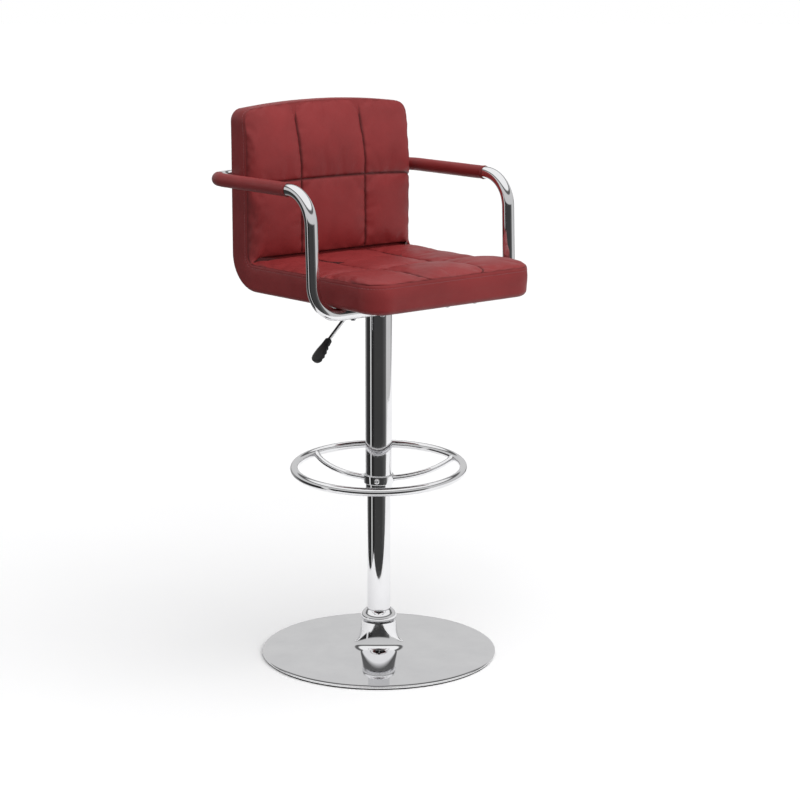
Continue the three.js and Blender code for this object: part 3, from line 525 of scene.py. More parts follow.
def base_skin():
    low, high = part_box("base_cover")
    rim = high.x
    skin = 0.002
    inner = 0.0228
    steps = 64
    radii = [0.034 + (rim - 0.0022 - 0.034) * (k / steps) ** 2.7 for k in range(steps + 1)]
    top = [(radius, skin_height(radius, rim)) for radius in reversed(radii)]
    lip = high.z
    rolled = [
        (rim - skin, low.z),
        (rim - 0.0006, low.z),
        (rim, low.z + 0.0006),
        (rim, low.z + 0.0018),
        (rim - 0.0007, skin_height(rim, rim) - 0.0004),
    ]
    collar = [(0.0330, lip - 0.0006), (0.0320, lip), (inner, lip), (inner, lip - skin), (0.0315, lip - skin)]
    under = [(radius - skin * 0.6, skin_height(radius, rim) - skin) for radius in radii[6:]]
    profile = rolled + top + collar + under
    piece = lathe("base_skin", profile, "base", CHROME, segments=192)
    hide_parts("base_cover")


def flange():
    low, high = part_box("flange_ring")
    radius = high.x
    height = high.z - low.z
    outline = [(0.86, 0.0), (1.0, 0.1), (1.0, 0.42), (0.93, 0.66), (0.80, 0.88), (0.70, 1.0)]
    profile = [(0.0228, low.z)] + [(radius * r, low.z + height * h) for r, h in outline] + [(0.0228, high.z)]
    eased = rounded(profile, [0.0008, 0.001, 0.003, 0.004, 0.004, 0.003, 0.001, 0.0008], steps=6)
    piece = lathe("column_flange", eased, "base", CHROME)
    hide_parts("flange_ring")


def column_tube(name, node, wall, body):
    low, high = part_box(node)
    profile = rounded(ring_profile(high.x - wall, high.x, low.z, high.z), 0.0007)
    piece = lathe(name, profile, body, CHROME)
    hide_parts(node)


base_skin()
flange()
column_tube("column_lower", "lower_tube", 0.0016, "base")
column_tube("column_sleeve", "upper_sleeve", 0.0016, "seat")

# ---------------------------------------------------------------- footrest

FOOT_RING_LOW, FOOT_RING_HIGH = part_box("footrest_ring")
FOOT_TUBE = 0.008
FOOT_RADIUS = 0.163
FOOT_TILT = math.radians(3)  # the hoop slopes down toward its own front
FOOT_HEIGHT = (FOOT_RING_HIGH.z + FOOT_RING_LOW.z) / 2
FOOT_FRONT = math.radians(222.5)  # heading of the footrest's own front, from +X
SPOKE_ANGLE = math.radians(57.5)


def footrest_point(forward, left, height):
    return Vector(
        (
            forward * math.cos(FOOT_FRONT) - left * math.sin(FOOT_FRONT),
            forward * math.sin(FOOT_FRONT) + left * math.cos(FOOT_FRONT),
            height,
        )
    )


def footrest_ring():
    steps = 160
    path = []
    for k in range(steps):
        angle = 2 * math.pi * k / steps
        forward = FOOT_RADIUS * math.cos(angle)
        height = FOOT_HEIGHT - forward * math.sin(FOOT_TILT)
        path.append(footrest_point(forward * math.cos(FOOT_TILT), FOOT_RADIUS * math.sin(angle), height))
    rows = circle_rows(path, [FOOT_TUBE] * steps, 36, closed=True)
    faces = grid_faces(steps, 36, wrap_rows=True, wrap_columns=True)
    piece = new_piece("footrest_hoop", rows, faces, "seat", CHROME)
    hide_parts("footrest_ring")


def footrest_collar():
    low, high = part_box("footrest_collar")
    profile = rounded(ring_profile(0.0261, high.x, low.z, high.z), [0.0004, 0.0022, 0.0022, 0.0004])
    piece = lathe("footrest_clamp", profile, "seat", CHROME)
    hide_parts("footrest_collar")
    return (low.z + high.z) / 2, high.x


def footrest_spoke(side, collar_height, collar_radius):
    """Half of the curved bar that carries the hoop, swelling into a weld at both ends."""
    radius = 0.0055
    reach = FOOT_RADIUS * math.sin(SPOKE_ANGLE)
    behind = FOOT_RADIUS * math.cos(SPOKE_ANGLE)
    setback = behind * math.cos(FOOT_TILT)
    drop = FOOT_HEIGHT + behind * math.sin(FOOT_TILT) - collar_height
    arc = (reach**2 + setback**2) / (2 * setback)
    start = collar_radius - 0.0025
    steps = 48
    path = []
    for k in range(steps + 1):
        left = start + (reach - 0.0015 - start) * k / steps
        back = arc - math.sqrt(arc**2 - left**2)
        path.append(footrest_point(-back, side * left, collar_height + drop * back / setback))
    near = [(path[k] - path[0]).length for k in range(steps + 1)]
    far = [(path[k] - path[-1]).length - FOOT_TUBE for k in range(steps + 1)]
    radii = [radius + 0.0016 * math.exp(-((n / 0.004) ** 2)) + 0.0014 * math.exp(-((max(f, 0) / 0.0035) ** 2))
             for n, f in zip(near, far)]
    rows = [path[0]] * 28 + circle_rows(path, radii, 28) + [path[-1]] * 28
    faces = grid_faces(steps + 3, 28, wrap_columns=True)
    name = "left" if side > 0 else "right"
    piece = new_piece(f"footrest_arm_{name}", rows, faces, "seat", CHROME)
    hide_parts(f"footrest_spoke_{name}")


footrest_ring()
clamp_height, clamp_radius = footrest_collar()
footrest_spoke(1, clamp_height, clamp_radius)
footrest_spoke(-1, clamp_height, clamp_radius)

# ---------------------------------------------------------------- screws and bolts


def turned(points, seat, axis):
    """Points drawn along +Z moved so that +Z becomes the axis and the origin becomes the seat."""
    turn = Vector((0, 0, 1)).rotation_difference(axis)
    return [seat + turn @ Vector(point) for point in points]


def socket_screw(node, axis, head_radius, head_height, shank_radius, finish):
    """A domed head with a six-sided socket on a plain shank; the head points along the axis."""
    low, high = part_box(node)
    centre = (low + high) / 2
    span = (high - low) / 2
    reach = abs(span.dot(Vector(map(abs, axis))))
    if node == "collar_screw":
        reach = (high - low).length / 2 * 0.62
    top = centre + axis * reach
    seat = top - axis * head_height
    shank = 2 * reach - head_height
    socket = head_radius * 0.46
    around = 36
    profile = [
        (0.0, -shank), (shank_radius * 0.8, -shank), (shank_radius, -shank + 0.0008), (shank_radius, 0.0),
        (head_radius * 0.94, 0.0), (head_radius, head_height * 0.12), (head_radius * 0.97, head_height * 0.36),
        (head_radius * 0.86, head_height * 0.66), (head_radius * 0.70, head_height * 0.86),
        (socket * 1.22, head_height * 0.985), (socket * 1.1, head_height * 0.97),
    ]
    rows = []
    for radius, height in profile:
        for k in range(around):
            angle = 2 * math.pi * k / around
            rows.append((radius * math.cos(angle), radius * math.sin(angle), height))
    for radius, height in ((1.0, head_height * 0.93), (0.97, head_height * 0.35), (0.0, head_height * 0.3)):
        for k in range(around):
            angle = 2 * math.pi * k / around
            flat = math.cos(math.pi / 6) / math.cos((angle % (math.pi / 3)) - math.pi / 6)
            rows.append((socket * radius * flat * math.cos(angle), socket * radius * flat * math.sin(angle), height))
    faces = grid_faces(len(profile) + 3, around, wrap_columns=True)
    piece = new_piece(f"{node}_head", turned(rows, seat, axis), faces, "seat", finish)
    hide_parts(node)


DOWN = Vector((0, 0, -1))
BACKWARD = Vector((0, 1, 0))
for number in (1, 2, 3, 4):
    socket_screw(f"plate_bolt_{number}", DOWN, 0.006, 0.0035, 0.003, PLAIN_STEEL)
for side_name in ("left", "right"):
    for number in (1, 2):
        socket_screw(f"arm_seat_screw_{side_name}_{number}", DOWN, 0.005, 0.003, 0.0025, PLAIN_STEEL)
        socket_screw(f"arm_back_screw_{side_name}_{number}", BACKWARD, 0.005, 0.003, 0.0025, PLAIN_STEEL)
socket_screw("collar_screw", footrest_point(1, 0, 0), 0.005, 0.003, 0.0025, CHROME)

# ---------------------------------------------------------------- height lever

LEVER_HEIGHT = 0.702
LEVER_BEND_X = -0.052
LEVER_NECK = Vector((-0.121, 0, 0.637))
GRIP_ANGLE = math.radians(49)
GRIP_AXIS = Vector((-math.cos(GRIP_ANGLE), 0, -math.sin(GRIP_ANGLE)))


def lever_rod():
    corners = [(0.004, 0, LEVER_HEIGHT), (LEVER_BEND_X, 0, LEVER_HEIGHT), LEVER_NECK, LEVER_NECK + GRIP_AXIS * 0.022]
    piece = rod("lever_arm", bent_path(corners, [0.014, 0.020], straight=0.004), 0.0035, "lever", CHROME)
    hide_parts("lever_rod")


def lever_grip():
    """A moulded paddle that widens to a round end, with finger ridges along its underside and a flared neck."""
    length = 0.053
    stations = 90
    around = 56
    across = Vector((0, 1, 0))
    upward = GRIP_AXIS.cross(across)
    if upward.z < 0:
        upward = -upward
    rows = []
    for i in range(stations + 1):
        t = i / stations
        along = length * (1 - (1 - t) ** 1.6)
        share = along / length
        tip = math.sqrt(max(0.0, 1 - max(0.0, (share - 0.74) / 0.26) ** 2.4))
        neck = min(1.0, 0.62 + share / 0.05 * 0.38)
        swell = 0.5 - 0.5 * math.cos(math.pi * min(share / 0.72, 1))
        half = (0.0068 + 0.0074 * swell) * tip * neck
        thick = (0.0056 + 0.0009 * swell) * math.sqrt(tip) * neck
        ridge = math.cos(2 * math.pi * (share - 0.2) / 0.17) if 0.2 < share < 0.9 else 1.0
        groove = 0.0011 * (1 - ridge) * (0.2 < share < 0.88)
        for k in range(around):
            angle = 2 * math.pi * k / around
            c, s = math.cos(angle), math.sin(angle)
            x = half * math.copysign(abs(c) ** 0.75, c)
            y = thick * math.copysign(abs(s) ** 0.75, s)
            under = max(0.0, -s) ** 0.5
            rows.append(LEVER_NECK + GRIP_AXIS * along + across * x * (1 - 0.04 * under * (ridge < 0)) + upward * (y + groove * under))
    rows = [LEVER_NECK] * around + rows
    faces = grid_faces(stations + 2, around, wrap_columns=True)
    piece = new_piece("lever_paddle", rows, faces, "lever", BLACK_PLASTIC)
    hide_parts("lever_grip")


lever_rod()
lever_grip()

# ---------------------------------------------------------------- armrests


ARM_REAR_BEND = 0.052
COVER_TURN = math.radians(36)  # how far the cover follows the tube round its rear bend


def arm_sizes(side_name):
    low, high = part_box(f"arm_tube_{side_name}")
    cover_low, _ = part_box(f"arm_cover_{side_name}")
    tube = 0.0118
    return {
        "tube": tube,
        "outer_x": max(abs(low.x), abs(high.x)) - tube,
        "rear_y": high.y - tube,
        "foot_y": -0.105,
        "front_y": -0.097,
        "rear_z": high.z - tube,
        "front_z": 0.9265,
        "foot_z": low.z + tube,
        "rear_end": 0.060,
        "foot_end": 0.045,
        "cover_front": cover_low.y,
        "cover_radius": 0.0130,
    }


def arm_rest(side_name):
    side = 1 if side_name == "left" else -1
    size = arm_sizes(side_name)
    x = side * size["outer_x"]
    corners = [
        (side * size["rear_end"], size["rear_y"], size["rear_z"]),
        (x, size["rear_y"], size["rear_z"]),
        (x, size["front_y"], size["front_z"]),
        (x, size["foot_y"], size["foot_z"]),
        (side * size["foot_end"], size["foot_y"], size["foot_z"]),
    ]
    path = bent_path(corners, [ARM_REAR_BEND, 0.062, 0.058], steps=22)
    piece = pipe(f"arm_bar_{side_name}", path, size["tube"], 0.0016, "seat", CHROME)
    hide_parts(f"arm_tube_{side_name}")
    arm_cover(side_name, side, size)


def arm_cover(side_name, side, size):
    """A sleeve of vinyl pulled tight over the tube, with rolled hems and a closing seam underneath."""
    front = size["cover_front"]
    straight = size["rear_y"] - ARM_REAR_BEND - front
    length = straight + ARM_REAR_BEND * COVER_TURN
    slope = (size["rear_z"] - size["front_z"]) / (size["rear_y"] - size["front_y"])

    def station(distance):
        """The tube's centre and its outward direction, this far along the cover."""
        turn = max(0.0, distance - straight) / ARM_REAR_BEND
        y = front + min(distance, straight) + ARM_REAR_BEND * math.sin(turn)
        x = size["outer_x"] - ARM_REAR_BEND * (1 - math.cos(turn))
        centre = Vector((side * x, y, size["front_z"] + slope * (y - size["front_y"])))
        return centre, Vector((math.cos(turn), side * math.sin(turn), 0))

    radius = size["cover_radius"]
    inner = size["tube"] + 0.0001
    steps = 120
    around = 64
    rows = []
    seam = []
    seam_shade_and_dirt = []
    for i in range(steps + 1):
        share = i / steps
        centre, outward = station(share * length)
        y = centre.y
        from_end = min(share, 1 - share) * length
        hem = 0.0008 * math.exp(-(((from_end - 0.004) / 0.0022) ** 2)) - 0.0006 * math.exp(-from_end / 0.0008)
        for k in range(around):
            angle = 2 * math.pi * k / around
            toward_seam = abs((angle - 1.5 * math.pi + math.pi) % (2 * math.pi) - math.pi)
            groove = 0.0005 * math.exp(-((toward_seam / 0.07) ** 2))
            pucker = 0.0002 * math.exp(-toward_seam / 0.5) * noise.noise(Vector((y * 160, angle * 1.5, side)))
            drag = 0.00015 * noise.noise(Vector((y * 35, angle * 2, 7 * side)))
            size_here = radius - 0.0002 + hem - groove + pucker + drag
            rows.append(centre + (outward * math.cos(angle) + Vector((0, 0, math.sin(angle)))) * size_here)
            # Painted shade, with some dirt, in the underside seam's groove and at the rolled hems.
            seam_shade_and_dirt.append(math.exp(-((toward_seam / 0.09) ** 2)) + 0.6 * math.exp(-from_end / 0.0012))
        seam.append(centre + Vector((0, 0, -1)) * (radius - 0.0004))
    inner_steps = 48
    for n in range(inner_steps, -1, -1):
        centre, outward = station(length * n / inner_steps)
        for k in range(around):
            angle = 2 * math.pi * k / around
            rows.append(centre + (outward * math.cos(angle) + Vector((0, 0, math.sin(angle)))) * inner)
            # Painted shade: the hidden inner skin is fully darkened.
            seam_shade_and_dirt.append(1.0)
    faces = grid_faces(steps + inner_steps + 2, around, True, True)
    piece = new_piece(f"arm_sleeve_{side_name}", rows, faces, "seat", VINYL, seam_shade_and_dirt)
    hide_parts(f"arm_cover_{side_name}")
    stitches(f"arm_stitching_{side_name}", seam, Vector((0, 0, -1)))


def capsule(centre, along, outward):
    """One stitch: a short thread that dips into the vinyl at both ends."""
    side = along.cross(outward).normalized()
    rows = []
    for k in range(7):
        t = k / 6 * 2 - 1
        dip = -0.0006 * t**4
        size = STITCH_RADIUS * math.sqrt(max(0.0, 1 - t**6)) + 1e-7
        middle = centre + along * (t * STITCH_LENGTH / 2) + outward * dip
        for j in range(6):
            angle = math.pi * j / 3
            rows.append(middle + side * size * math.cos(angle) + outward * size * math.sin(angle))
    return rows


def stitches(name, line, outward, closed=False):
    """A row of stitches along a line of points. outward is one direction, or one for each point."""
    outwards = outward if isinstance(outward, list) else [outward] * len(line)
    points = list(line) + ([line[0]] if closed else [])
    outwards = outwards + ([outwards[0]] if closed else [])
    lengths = [0.0]
    for a, b in zip(points, points[1:]):
        lengths.append(lengths[-1] + (b - a).length)
    count = int(lengths[-1] / STITCH_PITCH)
    rows = []
    faces = []
    spot = 0
    for n in range(count):
        at = (n + 0.5) * lengths[-1] / count
        while lengths[spot + 1] < at:
            spot += 1
        share = (at - lengths[spot]) / (lengths[spot + 1] - lengths[spot])
        along = (points[spot + 1] - points[spot]).normalized()
        centre = points[spot].lerp(points[spot + 1], share)
        first = len(rows)
        rows += capsule(centre, along, outwards[spot].lerp(outwards[spot + 1], share).normalized())
        faces += [tuple(first + index for index in face) for face in grid_faces(7, 6, wrap_columns=True)]
        faces += [tuple(first + j for j in range(6)), tuple(first + 36 + j for j in range(6))]
    return new_piece(name, rows, faces, "seat", THREAD)


arm_rest("left")
arm_rest("right")

# ---------------------------------------------------------------- the L-shaped slab under the pads


def eased_ticks(reach, steps):
    """Distances from an edge, close together at the edge itself."""
    return [reach * (1 - math.cos(math.pi / 2 * k / steps)) for k in range(steps + 1)]


def ticks(low, high, spacing, seams, low_ease, high_ease, seam_offsets=(0.0, 0.0016, 0.0042)):
    """Grid positions from low to high: fine at both ends and beside each seam, even elsewhere."""
    fixed = [low + d for d in low_ease] + [high - d for d in high_ease]
    for seam in seams:
        fixed += [seam + sign * offset for offset in seam_offsets for sign in (-1, 1)]
    fixed = sorted(set(round(value, 6) for value in fixed))
    filled = [fixed[0]]
    for a, b in zip(fixed, fixed[1:]):
        parts = max(1, round((b - a) / spacing))
        filled += [a + (b - a) * (k + 1) / parts for k in range(parts)]
    return filled


FLAT_LENGTH = CORNER_Y - SEAT_FRONT
ARC_LENGTH = CORNER_RADIUS * math.pi / 2
UPRIGHT_LENGTH = BACK_TOP - TOP_ARCH - CORNER_Z
SLAB_LENGTH = FLAT_LENGTH + ARC_LENGTH + UPRIGHT_LENGTH


FRONT_DROOP = 0.0035  # how far the band's lower front edge sags
DROOP_REACH = 0.080


def lean(height):
    """How far back the join behind the back pad has leaned at this height."""
    return LEAN_REACH * max(0.0, (height - LEAN_START) / (LEAN_END - LEAN_START)) ** 2


def slab_point(x, along, depth):
    """A point of the slab: along runs from the front, under the seat, round the sweep and up the back's rear face."""
    if along < FLAT_LENGTH:
        droop = FRONT_DROOP * max(0.0, 1 - along / DROOP_REACH) ** 2 * (1 - depth / BAND_DEPTH)
        return Vector((x, SEAT_FRONT + along, SEAT_BOTTOM + depth - droop))
    if along < FLAT_LENGTH + ARC_LENGTH:
        angle = (along - FLAT_LENGTH) / CORNER_RADIUS
        radius = CORNER_RADIUS - depth
        return Vector((x, CORNER_Y + radius * math.sin(angle), CORNER_Z - radius * math.cos(angle)))
    height = CORNER_Z + along - FLAT_LENGTH - ARC_LENGTH
    return Vector((x, SEAT_REAR - depth + lean(height) * depth / BAND_DEPTH, height))


def corner_cut(distance, radius):
    """How much narrower the outline is at this distance from an edge with rounded corners."""
    if distance >= radius:
        return 0.0
    return radius - math.sqrt(max(0.0, radius**2 - (radius - distance) ** 2))


def slab_outline(s, t, inset):
    """Grid position (s across from -1 to 1, t along from 0 to 1) on the slab's outline shrunk by inset."""
    crown = TOP_ARCH * (1 - s**2)
    low = inset
    high = SLAB_LENGTH + crown - inset
    along = low + t * (high - low)
    front_cut = corner_cut(along - low, max(FRONT_CORNER - inset, 0.002))
    top_cut = corner_cut(high - along, max(TOP_CORNER - inset, 0.002))
    return s * (HALF_WIDTH - inset - front_cut - top_cut), along


SEAM_SECTION = [  # distance below the seam, and how far the face stands in from the outline
    (0.0000, 0.0022), (0.0006, 0.0012), (0.0017, 0.0004), (0.0035, 0.0000), (0.0058, -0.0004),
    (0.0065, -0.0002), (0.0072, -0.0004), (0.0105, -0.0009), (0.0160, -0.0013), (0.0220, -0.0014),
    (0.0280, -0.0010), (0.0340, -0.0004),
]
BAND_SECTION = [(BAND_DEPTH - below, inset) for below, inset in SEAM_SECTION]
EDGE_ROUND = 0.011
for step in range(9):
    turn_angle = math.pi / 2 * step / 8
    BAND_SECTION.append((EDGE_ROUND * (1 - math.sin(turn_angle)), EDGE_ROUND * (1 - math.cos(turn_angle))))


def slab_grid():
    side_ease = eased_ticks(0.03, 5)
    s_ticks = [x / HALF_WIDTH for x in ticks(-HALF_WIDTH, HALF_WIDTH, 0.009, [], side_ease, side_ease)]
    t_ticks = ticks(0, SLAB_LENGTH, 0.006, [], eased_ticks(FRONT_CORNER, 14), eased_ticks(0.024, 9))
    return s_ticks, [t / SLAB_LENGTH for t in t_ticks]


def loop_of(columns, rows):
    """Grid indices (row, column) once round the edge."""
    loop = [(0, j) for j in range(columns)]
    loop += [(i, columns - 1) for i in range(1, rows)]
    loop += [(rows - 1, j) for j in range(columns - 2, -1, -1)]
    loop += [(i, 0) for i in range(rows - 2, 0, -1)]
    return loop


def pucker(distance, where, depth, reach=0.010):
    """Small pulls in the vinyl beside a seam: strongest at the seam, uneven along it."""
    uneven = 0.55 + 0.45 * noise.noise(where * 14)
    ripple = noise.noise(where * 95) + 0.4 * noise.noise(where * 210)
    return depth * uneven * ripple * math.exp(-distance / reach)


def side_band():
    """The band: sides, front edge, top edge, rear face and underside in one skin, pulled in at its seam."""
    s_ticks, t_ticks = slab_grid()
    rows, columns = len(t_ticks), len(s_ticks)
    loop = loop_of(columns, rows)
    points = []
    seam_shade_and_dirt = []
    for depth, inset in BAND_SECTION:
        for i, j in loop:
            x, along = slab_outline(s_ticks[j], t_ticks[i], inset)
            here = slab_point(x, along, depth)
            shift = pucker(BAND_DEPTH - depth, here, 0.0016)
            x, along = slab_outline(s_ticks[j], t_ticks[i], inset - shift)
            points.append(slab_point(x, along, depth))
            # Painted shade, with some dirt, just beside the band's seam.
            seam_shade_and_dirt.append(0.45 * math.exp(-((BAND_DEPTH - depth) / 0.0014)))
    ring = len(loop)
    faces = grid_faces(len(BAND_SECTION), ring, wrap_columns=True)
    for depth, inset, first_ring in ((0.0, EDGE_ROUND, len(BAND_SECTION) - 1), (BAND_DEPTH, BAND_SECTION[0][1], 0)):
        index = {}
        for n, place in enumerate(loop):
            index[place] = first_ring * ring + n
        for i in range(1, rows - 1):
            for j in range(1, columns - 1):
                x, along = slab_outline(s_ticks[j], t_ticks[i], inset)
                sag = 0.0008 * noise.noise(Vector((x * 9, along * 9, 3.0))) if depth == 0.0 else 0.0
                index[(i, j)] = len(points)
                points.append(slab_point(x, along, depth + sag * 0.5))
                seam_shade_and_dirt.append(0.0)
        for i in range(rows - 1):
            for j in range(columns - 1):
                faces.append((index[(i, j)], index[(i, j + 1)], index[(i + 1, j + 1)], index[(i + 1, j)]))
    band = new_piece("side_panels", points, faces, "seat", VINYL, seam_shade_and_dirt)
    cut_pocket(band)
    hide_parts("side_band")
    stitch_line = []
    outward = []
    for i, j in loop:
        near = slab_point(*slab_outline(s_ticks[j], t_ticks[i], -0.00045), BAND_DEPTH - TOPSTITCH_OFFSET)
        far = slab_point(*slab_outline(s_ticks[j], t_ticks[i], 0.004), BAND_DEPTH - TOPSTITCH_OFFSET)
        stitch_line.append(near)
        outward.append((near - far).normalized())
    stitches("edge_topstitch", stitch_line, outward, closed=True)


def cut_pocket(band):
    """The recess under the seat where the lining cloth sits."""
    low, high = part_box("dust_cover")
    clearance = 0.0005
    outline = rounded(
        [(low.x - clearance, low.y - clearance), (high.x + clearance, low.y - clearance),
         (high.x + clearance, high.y + clearance), (low.x - clearance, high.y + clearance)], 0.024, 8)
    count = len(outline)
    rows = [Vector((x, y, SEAT_BOTTOM - 0.02)) for x, y in outline] + [Vector((x, y, high.z + 0.0005)) for x, y in outline]
    faces = grid_faces(2, count, wrap_columns=True) + [tuple(range(count)), tuple(range(count, 2 * count))]
    cutter = new_piece("pocket_cutter", rows, faces, "seat", VINYL)
    modifier = band.modifiers.new("pocket", "BOOLEAN")
    modifier.operation = "DIFFERENCE"
    modifier.solver = "EXACT"
    modifier.object = cutter
    apply_modifiers(band)
    bpy.data.objects.remove(cutter)
    band.data.set_sharp_from_angle(angle=math.radians(50))


def apply_modifiers(piece):
    graph = bpy.context.evaluated_depsgraph_get()
    final = bpy.data.meshes.new_from_object(piece.evaluated_get(graph))
    piece.modifiers.clear()
    piece.data = final


side_band()

# ---------------------------------------------------------------- quilted pads


def level_curve(stations):
    """A smooth height curve through (position, height) stations."""
    positions, heights = zip(*stations)

    def curve(value):
        spread = [-0.02, -0.01, 0.0, 0.01, 0.02]
        return sum(float(np.interp(value + d, positions, heights)) for d in spread) / len(spread)

    return curve


def rise(distance):
    """A pad's rounded shoulder: 0 at its seam, 1 at full height."""
    if distance >= PAD_ROUND:
        return 1.0
    return math.sqrt(max(0.0, 1 - (1 - distance / PAD_ROUND) ** 2))


def edge_share(x):
    return min(max((abs(x) - (HALF_WIDTH - PAD_ROUND)) / PAD_ROUND, 0.0), 1.0)


SEAT_LEVEL = level_curve(
    [(-0.222, 0.7745), (-0.18, 0.7775), (-0.12, 0.7760), (-0.078, 0.7725), (-0.02, 0.7710), (0.06, 0.7725), (0.118, 0.7760)]
)
SEAM_PULL = 0.0012  # how far the edge seams draw the vinyl in
JUNCTION_SWEEP = 0.0223  # how far back the join between the pads runs as it reaches the side


def seat_seam_height(y):
    if y <= CORNER_Y:
        return SEAM_Z
    return CORNER_Z - math.sqrt(max(0.0, SEAM_RADIUS**2 - (y - CORNER_Y) ** 2))


def seat_place(across, share):
    """The seat pad at crease level: across in metres, share from the front seam (0) to the back pad (1)."""
    depth = PAD_FRONT_Y - SEAT_FRONT
    y = SEAT_FRONT + share * depth + JUNCTION_SWEEP * edge_share(across) ** 2 * share**8
    from_front = y - SEAT_FRONT
    x = across * (HALF_WIDTH - corner_cut(from_front, FRONT_CORNER)) / HALF_WIDTH
    if from_front < FRONT_CORNER and abs(x) > HALF_WIDTH - FRONT_CORNER:
        edge = FRONT_CORNER - math.hypot(abs(x) - (HALF_WIDTH - FRONT_CORNER), FRONT_CORNER - from_front)
    else:
        edge = min(HALF_WIDTH - abs(x), from_front)
    edge = max(edge, 0.0)
    seam = seat_seam_height(y)
    pull = SEAM_PULL * math.exp(-edge / 0.0022)
    shrink = 1 - pull / HALF_WIDTH
    return Vector((x * shrink, y + pull * (1 if share < 0.05 else 0), seam + (SEAT_LEVEL(y) - seam) * rise(edge)))


BACK_LEAN_START = 0.945


def back_front(z):
    """The back pad's front face at crease level: upright, then leaning back to the top edge."""
    upright = PAD_FRONT_Y + 0.0050
    share = max(0.0, (z - BACK_LEAN_START) / (BACK_TOP - BACK_LEAN_START))
    return upright + (SEAM_Y + LEAN_REACH - upright) * share**1.5


def back_seam_y(z):
    if z >= CORNER_Z:
        return SEAM_Y + lean(z)
    return CORNER_Y + math.sqrt(max(0.0, SEAM_RADIUS**2 - (CORNER_Z - z) ** 2))


def back_place(across, share):
    """The back pad at crease level: share runs from the seat pad (0) to the top seam (1)."""
    crown = TOP_ARCH * (1 - (across / HALF_WIDTH) ** 2)
    bottom = SEAT_TOP - 0.0020 - 0.0130 * edge_share(across) ** 2
    top = BACK_TOP - TOP_ARCH + crown
    z = bottom + share * (top - bottom)
    x = across * (HALF_WIDTH - corner_cut(top - z, TOP_CORNER)) / HALF_WIDTH
    side = HALF_WIDTH - corner_cut(top - z, TOP_CORNER) - abs(x)
    pull = SEAM_PULL * math.exp(-side / 0.0022)
    seam = back_seam_y(z)
    face = seam - (seam - back_front(z)) * rise(side)
    tuck = 0.004 * (1 - edge_share(across)) * math.exp(-(z - bottom) / 0.004)
    return Vector((x * (1 - pull / HALF_WIDTH), face + tuck, z))


def swell_panel(name, points, faces, pinned, pressure, slack, cap):
    """Blows the panel out between its pinned seams with Cloth, and returns how far each point moved."""
    mesh = bpy.data.meshes.new(name)
    mesh.from_pydata([tuple(p) for p in points], [], faces)
    panel = bpy.data.objects.new(name, mesh)
    scene = bpy.context.scene
    scene.collection.objects.link(panel)
    group = panel.vertex_groups.new(name="seams")
    group.add([i for i, held in enumerate(pinned) if held], 1.0, "REPLACE")
    cloth = panel.modifiers.new("cloth", "CLOTH")
    cloth.point_cache.frame_start = 1
    cloth.point_cache.frame_end = 20
    settings = cloth.settings
    settings.quality = 8
    settings.mass = 0.25
    settings.tension_stiffness = 22
    settings.compression_stiffness = 18
    settings.shear_stiffness = 8
    settings.bending_stiffness = 0.35
    settings.air_damping = 2.0
    settings.use_pressure = True
    settings.uniform_pressure_force = pressure
    settings.shrink_min = -slack
    settings.shrink_max = -slack
    settings.vertex_group_mass = "seams"
    settings.pin_stiffness = 1.0
    settings.effector_weights.gravity = 0.0
    for step in range(1, 21):
        scene.frame_set(step)
    graph = bpy.context.evaluated_depsgraph_get()
    settled = np.array([v.co for v in panel.evaluated_get(graph).data.vertices])
    scene.frame_set(1)
    bpy.data.objects.remove(panel)
    bpy.data.meshes.remove(mesh)
    moved = settled - np.array([tuple(p) for p in points])
    size = np.linalg.norm(moved, axis=1, keepdims=True)
    print(name, "largest move", round(float(size.max()) * 1000, 1), "mm before the cap")
    return moved * cap * np.tanh(size / cap) / np.maximum(size, 1e-9)


def surface_normals(grid):
    """Unit normals of a (rows, columns, 3) grid of points."""
    across = np.gradient(grid, axis=1)
    along = np.gradient(grid, axis=0)
    normals = np.cross(across, along)
    return normals / np.maximum(np.linalg.norm(normals, axis=2, keepdims=True), 1e-12)


def pillow(position, seams):
    """0 on the seams, 1 halfway between two of them."""
    for low, high in zip(seams, seams[1:]):
        if low <= position <= high:
            share = (position - low) / (high - low)
            return 1 - abs(2 * share - 1) ** 2.6
    return 0.0


